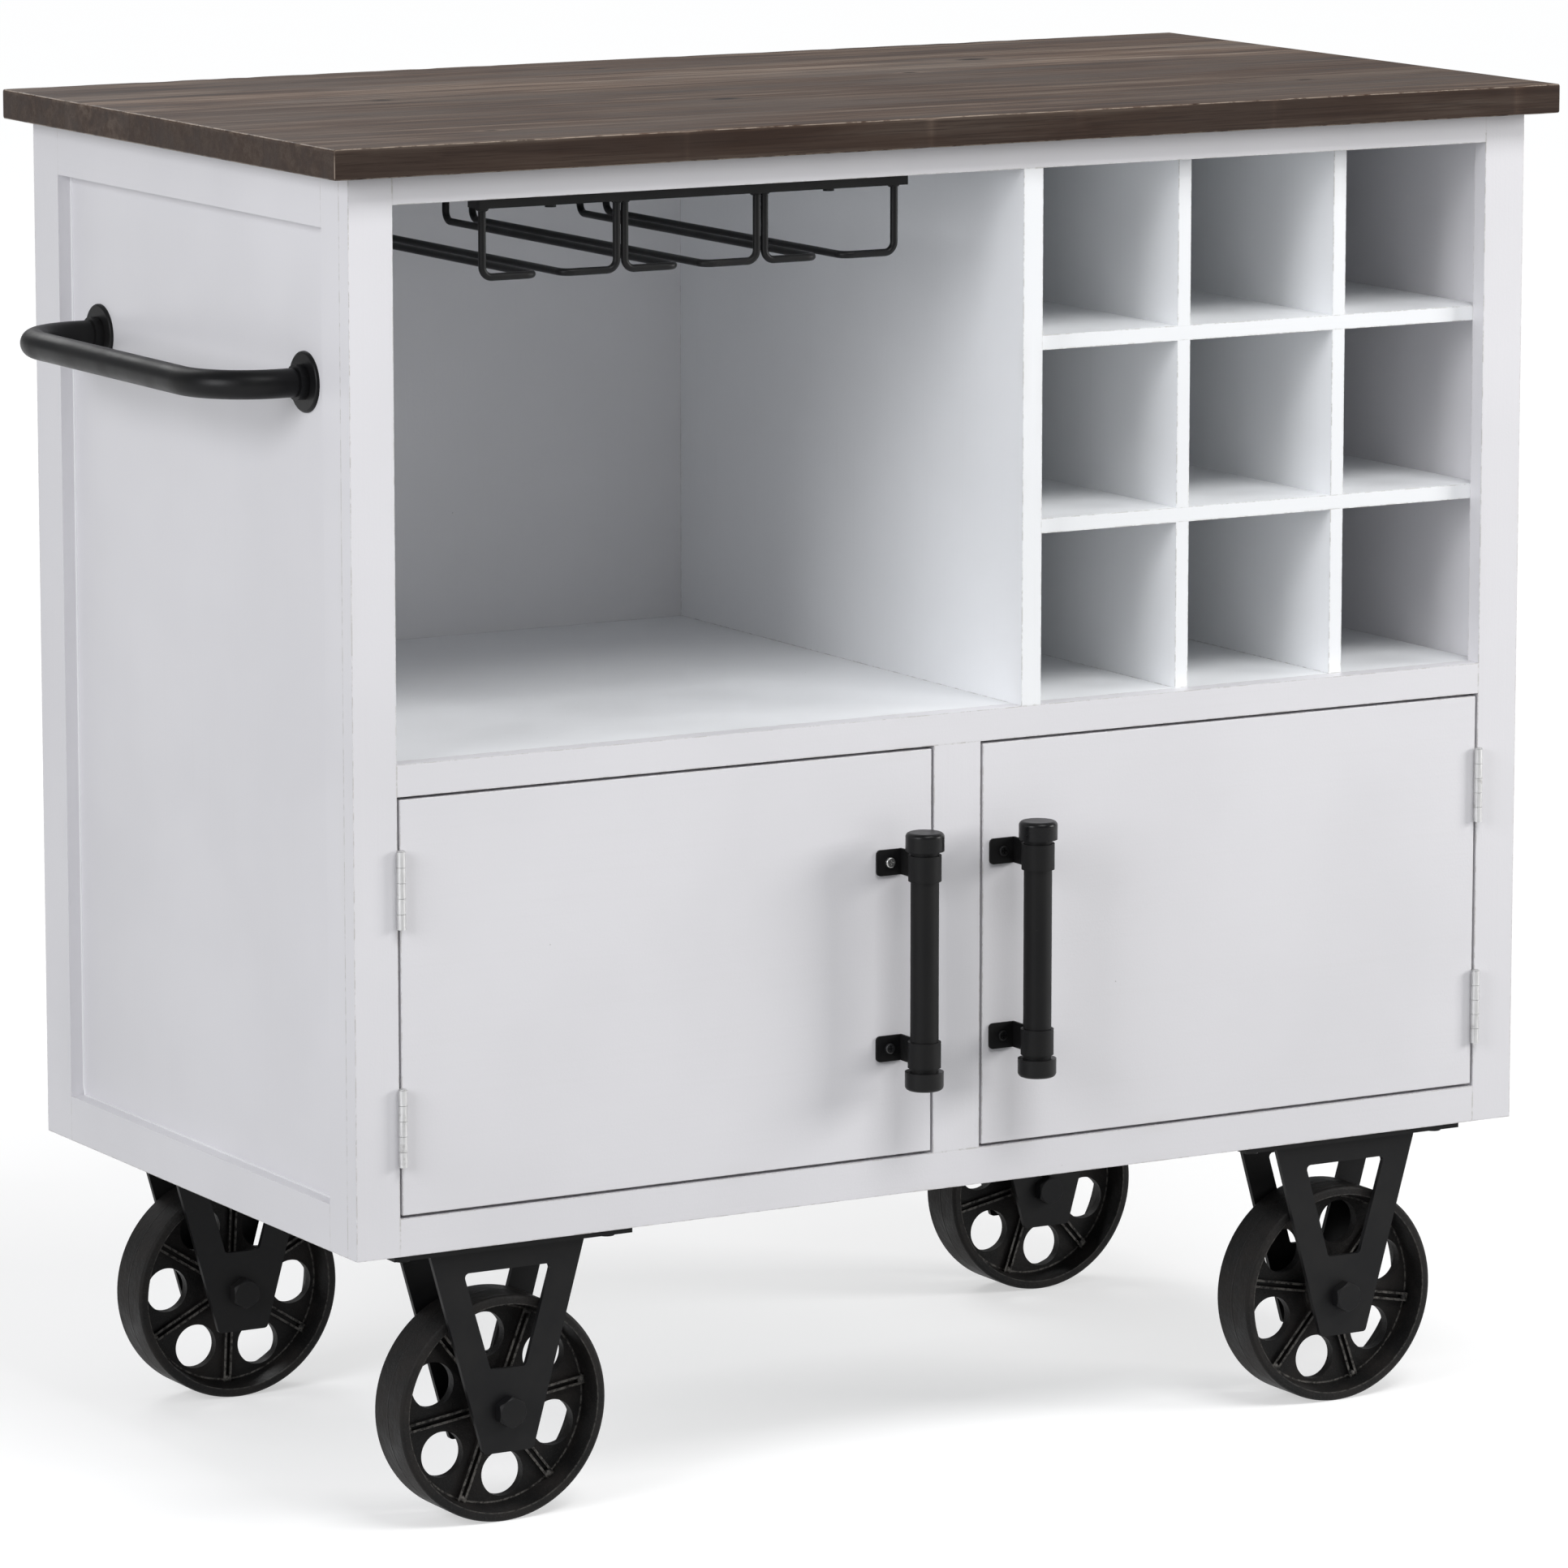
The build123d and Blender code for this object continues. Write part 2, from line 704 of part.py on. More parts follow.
def fork_plate(x, y0):
    """A tapered plate with a tapered window, standing across the axle from y0 to y0 + fork_thick."""
    top_z = caster_height - plate_thick
    bottom_z = wheel_radius - fork_below_axle
    outline = taper(top_z, bottom_z, fork_top_width, fork_bottom_width)
    outline = fillet(outline.vertices().group_by(Axis.Y)[0], fork_corner)
    window_bottom_z = wheel_radius + window_bottom_rise
    window = taper(top_z - window_top_drop, window_bottom_z, window_top_width, window_bottom_width)
    window = fillet(window.vertices(), window_corner)
    profile = outline - window - Pos(0, wheel_radius) * Circle(axle_dia / 2)
    return Pos(x, y0 + fork_thick, 0) * Rot(90, 0, 0) * extrude(profile, fork_thick)


def caster_bracket(x, y):
    half_l, half_w = plate_length / 2, plate_width / 2
    bracket = block(x - half_l, x + half_l, y - half_w, y + half_w, caster_height - plate_thick, caster_height)
    for hx, hy in plate_holes(x, y):
        bracket -= rod_z(plate_hole_dia, hx, hy, caster_height - plate_thick, caster_height)
    bracket += fork_plate(x, y - fork_gap / 2 - fork_thick)
    bracket += fork_plate(x, y + fork_gap / 2)
    return bracket


def wheel_section():
    """Half of a wheel's cross-section: hub, flat web, and a rim whose inner wall opens outwards."""
    bore = axle_sleeve_dia / 2 + axle_clearance
    hub_half = fork_gap / 2 - wheel_hub_gap
    web_half = wheel_web_thick / 2
    rim_half = wheel_width / 2
    outline = [
        (bore, hub_half),
        (wheel_hub_dia / 2, hub_half),
        (wheel_hub_dia / 2 + wheel_hub_flare, web_half),
        (wheel_web_dia / 2, web_half),
        (wheel_lip_dia / 2, rim_half),
        (wheel_radius, rim_half),
    ]
    mirrored = [(r, -y) for r, y in reversed(outline)]
    section = Polygon(*outline, *mirrored, align=None)
    tread_corners = section.vertices().group_by(Axis.X)[-1]
    return fillet(tread_corners, wheel_tread_round)


def wheel(x, y, turn):
    """A cast wheel with round holes in its web and a pair of ribs between each two of them."""
    body = revolve(wheel_section(), axis=Axis.Y)
    reach = (wheel_lip_dia / 2 + wheel_radius) / 2
    rib_half_y = wheel_web_thick / 2 + wheel_rib_height
    rib_centre = (wheel_rib_width + wheel_rib_gap) / 2
    spoke_step = 360 / wheel_holes
    for i in range(wheel_holes):
        for offset in (-rib_centre, rib_centre):
            z0, z1 = offset - wheel_rib_width / 2, offset + wheel_rib_width / 2
            body += Rot(0, i * spoke_step, 0) * block(wheel_hub_dia / 2, reach, -rib_half_y, rib_half_y, z0, z1)
    for i in range(wheel_holes):
        angle = radians((i + 0.5) * spoke_step)
        hole_x, hole_z = wheel_hole_circle / 2 * cos(angle), wheel_hole_circle / 2 * sin(angle)
        body -= rod_y(wheel_hole_dia, hole_x, hole_z, -wheel_width, wheel_width)
    return Pos(x, y, wheel_radius) * Rot(0, -turn, 0) * body


def axle_sleeve(x, y):
    """The tube clamped between the fork plates, which the wheel turns on."""
    half = fork_gap / 2
    tube = rod_y(axle_sleeve_dia, x, wheel_radius, y - half, y + half)
    return tube - rod_y(axle_dia, x, wheel_radius, y - half, y + half)


def axle_bolt(x, y):
    head_seat_y = y - fork_gap / 2 - fork_thick
    end_y = y + fork_gap / 2 + fork_thick + axle_nut_thick + axle_thread_past_nut
    head = hexagon_y(axle_head_flats, x, wheel_radius, head_seat_y - axle_head_thick, head_seat_y)
    corner_round = rod_y(axle_head_corners, x, wheel_radius, head_seat_y - axle_head_thick, head_seat_y)
    front_rim = corner_round.edges().filter_by(GeomType.CIRCLE).sort_by(Axis.Y)[0]
    head &= chamfer(front_rim, axle_head_chamfer)
    return head + rod_y(axle_dia, x, wheel_radius, head_seat_y, end_y)


def axle_nut(x, y):
    seat_y = y + fork_gap / 2 + fork_thick
    nut = hexagon_y(axle_head_flats, x, wheel_radius, seat_y, seat_y + axle_nut_thick)
    return nut - rod_y(axle_dia, x, wheel_radius, seat_y, seat_y + axle_nut_thick)


def caster_screws(x, y):
    screws = []
    under_z = caster_height - plate_thick
    for hx, hy in plate_holes(x, y):
        head = rod_z(plate_screw_head_dia, hx, hy, under_z - plate_screw_head_thick, under_z)
        screws.append(head + rod_z(plate_hole_dia, hx, hy, under_z, under_z + plate_screw_length))
    return screws


# ---- write every node ----
os.makedirs("parts", exist_ok=True)

write("worktop", worktop())
write("top_panel", top_panel())
write("mid_shelf", mid_shelf())
write("bottom_panel", bottom_panel())
write("back_panel", back_panel())
write("bay_divider", bay_divider())
write("face_top_rail", face_rail(ceiling_z, face_top_rail_height))
write("face_mid_rail", face_rail(mid_rail_bottom_z, face_mid_rail_height))
write("face_bottom_rail", face_rail(caster_height, face_bottom_rail_height))
write("face_centre_stile", face_centre_stile())

for place, z in zip(("lower", "upper"), shelf_bottoms):
    write(f"cubby_shelf_{place}", cubby_shelf(z))
for place, x in zip(("left", "right"), upright_lefts):
    write(f"cubby_upright_{place}", cubby_upright(x))

write("rack_bars", rack_bar(rack_front_y), rack_bar(rack_rear_y))
write("rack_wires", *rack_wires())
write("rack_screws", *[rack_screw(x, y) for x, y in rack_screw_places])

write("push_handle_bar", push_handle_bar())
write("push_handle_flanges", *[push_handle_flange(y, z) for y, z in flange_centres])
write("push_handle_bolts", *[push_handle_bolt(y, z) for y, z in flange_centres])

for name, side in (("left", -1), ("right", 1)):
    stiles, rails = side_trim(side)
    middles = hinge_middles(side)
    write(f"{name}_side_panel", side_panel(side))
    write(f"{name}_side_stiles", *stiles)
    write(f"{name}_side_rails", *rails)
    write(f"face_stile_{name}", face_stile(side))
    write(f"{name}_hinge_frame_leaves", *[hinge_leaf(side, z, False) for z in middles])
    write(f"{name}_hinge_door_leaves", *[hinge_leaf(side, z, True) for z in middles])
    write(f"{name}_door", door(side))
    write(f"{name}_pull_pipe", pull_pipe(side))
    write(f"{name}_pull_caps", pull_cap(side, -1), pull_cap(side, 1))
    write(f"{name}_pull_clamps", *[pull_clamp(side, z) for z in clamp_heights])
    door_leaf_screws = [screw for z in middles for screw in leaf_screws(side, z, True)]
    write(f"{name}_door_screws", *[clamp_screw(side, z) for z in clamp_heights], *door_leaf_screws)
    write(f"{name}_strike", strike(side))

frame_hinges = [(side, z) for side in (-1, 1) for z in hinge_middles(side)]
write("hinge_pins", *[hinge_pin(side, z) for side, z in frame_hinges])
write("hinge_frame_screws", *[s for side, z in frame_hinges for s in leaf_screws(side, z, False)])
write("magnetic_catches", magnetic_catch(-1), magnetic_catch(1))

for name, (x, y) in caster_places.items():
    write(f"{name}_caster_bracket", caster_bracket(x, y))
    write(f"{name}_wheel", wheel(x, y, wheel_turns[name]))
write("axle_sleeves", *[axle_sleeve(x, y) for x, y in caster_places.values()])
write("axle_bolts", *[axle_bolt(x, y) for x, y in caster_places.values()])
write("axle_nuts", *[axle_nut(x, y) for x, y in caster_places.values()])
write("caster_screws", *[s for x, y in caster_places.values() for s in caster_screws(x, y)])
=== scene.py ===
import json
import math

import bmesh
import bpy
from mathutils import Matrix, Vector, noise

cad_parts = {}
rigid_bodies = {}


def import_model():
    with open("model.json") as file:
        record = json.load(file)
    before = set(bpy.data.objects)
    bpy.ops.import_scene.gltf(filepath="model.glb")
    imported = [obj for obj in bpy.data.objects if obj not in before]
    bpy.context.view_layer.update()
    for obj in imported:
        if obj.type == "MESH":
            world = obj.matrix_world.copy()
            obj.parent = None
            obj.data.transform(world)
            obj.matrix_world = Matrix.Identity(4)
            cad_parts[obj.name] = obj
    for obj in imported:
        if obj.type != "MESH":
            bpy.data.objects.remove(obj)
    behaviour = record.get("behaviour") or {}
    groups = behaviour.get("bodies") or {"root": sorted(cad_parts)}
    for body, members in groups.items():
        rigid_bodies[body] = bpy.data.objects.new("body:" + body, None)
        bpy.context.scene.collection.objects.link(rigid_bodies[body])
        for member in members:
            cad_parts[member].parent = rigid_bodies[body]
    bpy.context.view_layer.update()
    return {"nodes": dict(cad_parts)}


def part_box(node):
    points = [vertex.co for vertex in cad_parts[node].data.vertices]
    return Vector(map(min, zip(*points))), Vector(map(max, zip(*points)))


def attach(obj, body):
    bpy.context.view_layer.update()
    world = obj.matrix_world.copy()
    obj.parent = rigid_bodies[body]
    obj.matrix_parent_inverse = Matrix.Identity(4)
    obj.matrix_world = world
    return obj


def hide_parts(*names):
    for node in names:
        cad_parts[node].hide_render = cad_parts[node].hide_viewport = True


for leftover in list(bpy.data.objects):
    bpy.data.objects.remove(leftover)
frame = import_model()

# --- Studio -------------------------------------------------------------------------------
# A plain pale floor that runs out of view, white air all round, a large soft box at the front
# right, a weaker one on the left, and a long lens that looks down a little from the front left.

camera_data = bpy.data.cameras.new("studio_camera")
camera_data.sensor_width = 36.0
camera_data.lens = 192.86
camera_data.clip_end = 200.0
camera = bpy.data.objects.new("studio_camera", camera_data)
camera_yaw, camera_tilt = math.radians(30.001), math.radians(9.803)
camera.location = (-2.83443, -4.93709, 1.41969)
camera.rotation_euler = (math.pi / 2 - camera_tilt, 0.0, -camera_yaw)
bpy.context.scene.collection.objects.link(camera)
bpy.context.scene.camera = camera

bpy.context.scene.view_settings.view_transform = "Standard"
air = bpy.data.worlds.new("white_air")
air.use_nodes = True
air.node_tree.nodes["Background"].inputs["Color"].default_value = (0.97, 0.985, 1.0, 1.0)
air.node_tree.nodes["Background"].inputs["Strength"].default_value = 0.34
bpy.context.scene.world = air


def softbox(name, place, aim, width, height, power, colour):
    """A rectangular area light at place that faces aim."""
    data = bpy.data.lights.new(name, "AREA")
    data.shape = "RECTANGLE"
    data.size, data.size_y = width, height
    data.energy = power
    data.color = colour
    light = bpy.data.objects.new(name, data)
    light.location = place
    light.rotation_euler = (Vector(aim) - Vector(place)).to_track_quat("-Z", "Y").to_euler()
    bpy.context.scene.collection.objects.link(light)


cart_middle = (0.02, 0.0, 0.45)
softbox("key_softbox", (3.6, -2.2, 1.6), cart_middle, 1.5, 1.5, 100.0, (1.0, 0.99, 0.98))
softbox("overhead_softbox", (0.2, -2.3, 3.6), cart_middle, 2.0, 1.2, 72.0, (1.0, 1.0, 1.0))
softbox("left_softbox", (-3.2, -1.2, 1.7), cart_middle, 1.6, 1.8, 66.0, (0.97, 0.975, 1.0))
softbox("back_softbox", (-0.2, 3.2, 3.0), cart_middle, 2.0, 1.4, 40.0, (1.0, 1.0, 1.0))


class Finish:
    """A material under construction: its shader, and short ways to add and wire its nodes."""

    def __init__(self, name, metallic=0.0, roughness=0.5, specular=0.5):
        self.mat = bpy.data.materials.new(name)
        self.mat.use_nodes = True
        self.tree = self.mat.node_tree
        self.shader = self.tree.nodes["Principled BSDF"]
        self.shader.inputs["Metallic"].default_value = metallic
        self.shader.inputs["Roughness"].default_value = roughness
        self.shader.inputs["Specular IOR Level"].default_value = specular
        self.place = self.add("ShaderNodeTexCoord").outputs["Object"]

    def add(self, kind, **settings):
        node = self.tree.nodes.new(kind)
        for key, value in settings.items():
            setattr(node, key, value)
        return node

    def put(self, value, socket):
        """Wires a socket, or sets a number or colour on it."""
        if isinstance(value, bpy.types.NodeSocket):
            self.tree.links.new(value, socket)
        else:
            socket.default_value = value

    def maths(self, operation, *values):
        node = self.add("ShaderNodeMath", operation=operation)
        for value, socket in zip(values, node.inputs):
            self.put(value, socket)
        return node.outputs[0]

    def axis(self, vector, letter):
        node = self.add("ShaderNodeSeparateXYZ")
        self.put(vector, node.inputs[0])
        return node.outputs[letter]

    def join(self, x, y, z):
        node = self.add("ShaderNodeCombineXYZ")
        for value, socket in zip((x, y, z), node.inputs):
            self.put(value, socket)
        return node.outputs[0]

    def stretch(self, vector, scale, shift=(0.0, 0.0, 0.0)):
        node = self.add("ShaderNodeMapping")
        self.put(vector, node.inputs["Vector"])
        node.inputs["Scale"].default_value = scale
        node.inputs["Location"].default_value = shift
        return node.outputs[0]

    def cloud(self, vector, scale, detail=3.0, rough=0.5, warp=0.0):
        node = self.add("ShaderNodeTexNoise")
        self.put(vector, node.inputs["Vector"])
        node.inputs["Scale"].default_value = scale
        node.inputs["Detail"].default_value = detail
        node.inputs["Roughness"].default_value = rough
        node.inputs["Distortion"].default_value = warp
        return node.outputs[0]

    def step(self, value, start, end, low=0.0, high=1.0):
        """Goes smoothly from low to high as value goes from start to end."""
        node = self.add("ShaderNodeMapRange", interpolation_type="SMOOTHSTEP")
        for number, socket in zip((value, start, end, low, high), node.inputs):
            self.put(number, socket)
        return node.outputs[0]

    def tint(self, amount, colour_a, colour_b, kind="MIX"):
        node = self.add("ShaderNodeMix", data_type="RGBA", blend_type=kind)
        self.put(amount, node.inputs[0])
        for colour, socket in ((colour_a, node.inputs[6]), (colour_b, node.inputs[7])):
            self.put(colour if isinstance(colour, bpy.types.NodeSocket) else (*colour, 1.0), socket)
        return node.outputs[2]

    def relief(self, height, depth, under=None, strength=1.0):
        """Bump of that depth in metres, on top of another one if under is given."""
        node = self.add("ShaderNodeBump")
        node.inputs["Strength"].default_value = strength
        node.inputs["Distance"].default_value = depth
        self.put(height, node.inputs["Height"])
        if under is not None:
            self.put(under, node.inputs["Normal"])
        return node.outputs[0]

    def corner_distance(self, low, high):
        """Distance to the nearest edge of a box, where two of its faces meet."""
        gaps = []
        for letter, a, b in zip("XYZ", low, high):
            along = self.axis(self.place, letter)
            middle, half = (a + b) / 2, (b - a) / 2
            away = self.maths("ABSOLUTE", self.maths("SUBTRACT", along, middle))
            gaps.append(self.maths("ABSOLUTE", self.maths("SUBTRACT", half, away)))
        small = self.maths("MINIMUM", gaps[0], gaps[1])
        large = self.maths("MAXIMUM", gaps[0], gaps[1])
        return self.maths("MAXIMUM", small, self.maths("MINIMUM", large, gaps[2]))

    def finish(self, colour=None, roughness=None, normal=None):
        for value, name in ((colour, "Base Color"), (roughness, "Roughness"), (normal, "Normal")):
            if value is not None:
                self.put(value, self.shader.inputs[name])
        return self.mat


floor_radius = 60.0
backdrop_radius = 59.0
floor_finish = Finish("pale_floor", roughness=0.9, specular=0.0)
floor_speck = floor_finish.cloud(floor_finish.place, 3.0)
floor_white = floor_finish.tint(floor_speck, (0.55, 0.55, 0.55), (0.57, 0.57, 0.57))
floor_reach = floor_finish.add("ShaderNodeVectorMath", operation="LENGTH")
floor_finish.put(floor_finish.place, floor_reach.inputs[0])
floor_glow = floor_finish.step(floor_reach.outputs["Value"], 0.6, 6.0, 0.50, 0.80)
floor_mesh = bpy.data.meshes.new("studio_floor")
shape = bmesh.new()
bmesh.ops.create_circle(shape, cap_ends=True, segments=64, radius=floor_radius)
shape.to_mesh(floor_mesh)
shape.free()
floor_finish.shader.inputs["Emission Color"].default_value = (1.0, 1.0, 1.0, 1.0)
floor_finish.put(floor_glow, floor_finish.shader.inputs["Emission Strength"])
floor_mesh.materials.append(floor_finish.finish(colour=floor_white))
studio_floor = bpy.data.objects.new("studio_floor", floor_mesh)
studio_floor.visible_diffuse = False
bpy.context.scene.collection.objects.link(studio_floor)

# A white backdrop beyond the floor's edge; it throws no light or shadow on the cart
backdrop_white = Finish("backdrop_white", roughness=1.0, specular=0.0)
backdrop_white.shader.inputs["Emission Color"].default_value = (1.0, 1.0, 1.0, 1.0)
backdrop_white.shader.inputs["Emission Strength"].default_value = 1.0
backdrop_mesh = bpy.data.meshes.new("studio_backdrop")
shape = bmesh.new()
bmesh.ops.create_cone(shape, cap_ends=False, segments=64, radius1=backdrop_radius,
                      radius2=backdrop_radius, depth=2 * backdrop_radius)
shape.to_mesh(backdrop_mesh)
shape.free()
backdrop_mesh.materials.append(backdrop_white.finish(colour=(0.0, 0.0, 0.0, 1.0)))
studio_backdrop = bpy.data.objects.new("studio_backdrop", backdrop_mesh)
studio_backdrop.visible_diffuse = False
studio_backdrop.visible_glossy = False
studio_backdrop.visible_shadow = False
bpy.context.scene.collection.objects.link(studio_backdrop)

# --- Worktop ------------------------------------------------------------------------------
# Five pine boards glued edge to edge, planed, stained dark walnut and rubbed back, so the bare
# wood shows pale in a broken line along each arris. Screwed down from inside the top panel.

MM = 0.001                     # one millimetre in the scene's metres
board_count = 5
joint_width = 0.5 * MM
joint_depth = 0.16 * MM
arris_round = 1.3 * MM
arris_steps = 6
arris_wear = 0.45 * MM
station_step = 7.0 * MM        # along the boards, between one ring of points and the next
stain_edge = 1.2 * MM          # how far the darker stain of the upright faces runs onto the top
end_grain_depth = 1.0 * MM
knot_width = 6.5 * MM          # of a knot of size 1, across and along the grain
knot_length = 14.0 * MM
top_low, top_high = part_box("worktop")
board_width = (top_high.y - top_low.y) / board_count


def worktop_profile():
    """Points (y, z) round the slab's section, with the sign of the way out at each."""
    corners = [(1, 1, 0.0), (-1, 1, 90.0), (-1, -1, 180.0), (1, -1, 270.0)]
    points = []
    for side, up, start in corners:
        y = (top_high.y if side > 0 else top_low.y) - side * arris_round
        z = (top_high.z if up > 0 else top_low.z) - up * arris_round
        for i in range(arris_steps + 1):
            turn = math.radians(start + 90.0 * i / arris_steps)
            points.append((y + arris_round * math.cos(turn), z + arris_round * math.sin(turn), True))
        if side == up:
            face_z = top_high.z if up > 0 else top_low.z
            joints = [top_low.y + board_width * (j + 1) for j in range(board_count - 1)]
            for y in reversed(joints) if up > 0 else joints:
                for offset, depth in ((up, 0.0), (0.0, joint_depth), (-up, 0.0)):
                    points.append((y + offset * joint_width / 2, face_z - up * depth, False))
    return points


def worktop_mesh():
    profile = worktop_profile()
    middle_y, middle_z = (top_low.y + top_high.y) / 2, (top_low.z + top_high.z) / 2
    stations = []
    for i in range(arris_steps + 1):
        turn = math.radians(90.0 * i / arris_steps)
        inset = arris_round * (1 - math.sin(turn))
        stations.append((top_low.x + arris_round * (1 - math.cos(turn)), inset))
    inner_low, inner_high = top_low.x + arris_round, top_high.x - arris_round
    count = int((inner_high - inner_low) / station_step)
    for i in range(1, count):
        stations.append((inner_low + (inner_high - inner_low) * i / count, 0.0))
    for x, inset in reversed(stations[: arris_steps + 1]):
        stations.append((top_low.x + top_high.x - x, inset))
    mesh = bmesh.new()
    rings = []
    for x, inset in stations:
        ring = []
        for y, z, on_arris in profile:
            wear = inset
            if on_arris:
                rub = noise.noise(Vector((x * 60.0, y * 9.0, z * 9.0)))
                wear += arris_wear * max(0.0, rub)
            ring.append(mesh.verts.new((
                x,
                y + math.copysign(min(wear, abs(y - middle_y)), middle_y - y),
                z + math.copysign(wear, middle_z - z) * (1.0 if on_arris or inset else 0.0),
            )))
        rings.append(ring)
    for a, b in zip(rings, rings[1:]):
        for i in range(len(a)):
            j = (i + 1) % len(a)
            mesh.faces.new((a[i], a[j], b[j], b[i]))
    mesh.faces.new(rings[0])
    mesh.faces.new(list(reversed(rings[-1])))
    bmesh.ops.recalc_face_normals(mesh, faces=mesh.faces)
    return mesh


def smooth_piece(name, mesh, material, body, sharp=35.0):
    """Turns mesh into a piece that rides on body, smooth except at turns over sharp degrees."""
    data = bpy.data.meshes.new(name)
    mesh.to_mesh(data)
    mesh.free()
    data.shade_smooth()
    data.set_sharp_from_angle(angle=math.radians(sharp))
    data.materials.append(material)
    piece = bpy.data.objects.new(name, data)
    bpy.context.scene.collection.objects.link(piece)
    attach(piece, body)
    return piece


def stained_wood():
    """Walnut stain over pine: a different figure in each board, streaks, knots and pale arrises."""
    wood = Finish("stained_walnut", roughness=0.5, specular=0.10)
    x, y, z = (wood.axis(wood.place, letter) for letter in "XYZ")
    across_boards = wood.maths("DIVIDE", wood.maths("SUBTRACT", y, top_low.y - MM), board_width + 0.4 * MM)
    board = wood.maths("FLOOR", across_boards)
    lot = wood.add("ShaderNodeTexWhiteNoise", noise_dimensions="1D")
    wood.put(wood.maths("ADD", board, 0.37), lot.inputs["W"])
    board_tone = lot.outputs["Value"]
    # each knot: place along and across the boards, and size
    knots = ((-0.057, -0.048, 0.9), (0.247, 0.134, 1.0), (-0.262, 0.056, 0.7), (0.154, 0.064, 0.5),
             (-0.30, -0.17, 0.4), (0.36, -0.12, 0.5), (-0.02, 0.20, 0.5))
    knot_dark, push = 0.0, 0.0
    for knot_x, knot_y, size in knots:
        across = wood.maths("DIVIDE", wood.maths("SUBTRACT", y, knot_y), knot_width * size)
        along = wood.maths("DIVIDE", wood.maths("SUBTRACT", x, knot_x), knot_length * size)
        reach = wood.maths("SQRT", wood.maths("ADD", wood.maths("MULTIPLY", across, across),
                                              wood.maths("MULTIPLY", along, along)))
        knot_dark = wood.maths("MAXIMUM", knot_dark, wood.step(reach, 1.3, 0.35))
        near = wood.step(reach, 4.5, 0.5)
        push = wood.maths("ADD", push, wood.maths("MULTIPLY", wood.maths("MULTIPLY", near, across), -0.0035))
    grain = wood.join(wood.maths("ADD", x, wood.maths("MULTIPLY", board_tone, 7.0)),
                      wood.maths("ADD", y, push), z)
    figure = wood.cloud(wood.stretch(grain, (1.5, 26.0, 26.0)), 2.2, 5.0, 0.62, 0.7)
    bands = wood.cloud(wood.stretch(grain, (2.0, 90.0, 90.0)), 1.7, 4.0, 0.6, 0.5)
    pores = wood.cloud(wood.stretch(grain, (9.0, 620.0, 620.0)), 1.5, 3.0, 0.7)
    patches = wood.cloud(wood.stretch(grain, (2.2, 6.0, 6.0)), 2.4, 3.0, 0.55)
    mix = wood.maths("ADD", wood.maths("MULTIPLY", figure, 0.62), wood.maths("MULTIPLY", bands, 0.38))
    ramp = wood.add("ShaderNodeValToRGB")
    wood.put(mix, ramp.inputs[0])
    stops = ((0.37, (0.030, 0.015, 0.009)), (0.455, (0.078, 0.044, 0.029)), (0.53, (0.165, 0.112, 0.082)),
             (0.60, (0.275, 0.212, 0.168)))
    while len(ramp.color_ramp.elements) < len(stops):
        ramp.color_ramp.elements.new(0.5)
    for element, (spot, colour) in zip(ramp.color_ramp.elements, stops):
        element.position = spot
        element.color = (*colour, 1.0)
    tone = wood.tint(wood.step(patches, 0.42, 0.66, 0.0, 0.5), ramp.outputs[0], (0.165, 0.137, 0.118))
    tone = wood.tint(wood.step(board_tone, 0.0, 1.0, 0.0, 0.45), tone, (0.050, 0.029, 0.020))
    tone = wood.tint(wood.step(pores, 0.50, 0.64, 0.0, 0.6), tone, (0.024, 0.014, 0.010))
    upright = wood.step(z, top_high.z - 3.0 * MM, top_high.z - stain_edge, 1.0, 0.0)
    tone = wood.tint(wood.maths("MULTIPLY", upright, 0.45), tone, (0.024, 0.014, 0.010))
    end_grain = wood.maths("GREATER_THAN", wood.maths("ABSOLUTE", wood.maths(
        "SUBTRACT", x, (top_low.x + top_high.x) / 2)), (top_high.x - top_low.x) / 2 - end_grain_depth)
    tone = wood.tint(wood.maths("MULTIPLY", end_grain, 0.45), tone, (0.020, 0.012, 0.009))
    tone = wood.tint(knot_dark, tone, (0.012, 0.007, 0.005))
    seam = wood.maths("ABSOLUTE", wood.maths("SUBTRACT", wood.maths(
        "FRACT", wood.maths("ADD", wood.maths("DIVIDE", wood.maths(
            "SUBTRACT", y, top_low.y), board_width), 0.5)), 0.5))
    tone = wood.tint(wood.step(seam, 0.004, 0.0015, 0.0, 0.55), tone, (0.016, 0.010, 0.008))
    reach = wood.corner_distance(top_low, top_high)
    ragged = wood.cloud(wood.stretch(wood.place, (1.0, 1.0, 1.0)), 95.0, 4.0, 0.65)
    worn = wood.maths("MULTIPLY", wood.step(reach, 1.0 * MM, 0.3 * MM), wood.step(ragged, 0.36, 0.56))
    tone = wood.tint(wood.maths("MULTIPLY", worn, 0.8), tone, (0.40, 0.33, 0.27))
    sheen = wood.step(figure, 0.3, 0.7, 0.36, 0.52)
    bump = wood.relief(pores, 0.05 * MM)
    bump = wood.relief(bands, 0.10 * MM, bump)
    return wood.finish(colour=tone, roughness=sheen, normal=bump)


worktop_sharp = 20.0
worktop_boards = smooth_piece("worktop_boards", worktop_mesh(), stained_wood(), "cabinet",
                              worktop_sharp)
even_faces = worktop_boards.modifiers.new("even_faces", "WEIGHTED_NORMAL")
even_faces.keep_sharp = True
even_faces.weight = 100
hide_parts("worktop")

# --- Painted cabinet ----------------------------------------------------------------------
# Board and solid wood, sprayed with off-white satin paint over a primer, so a little grain and
# orange peel shows. The paint breaks in a thin uneven line wherever two boards meet.

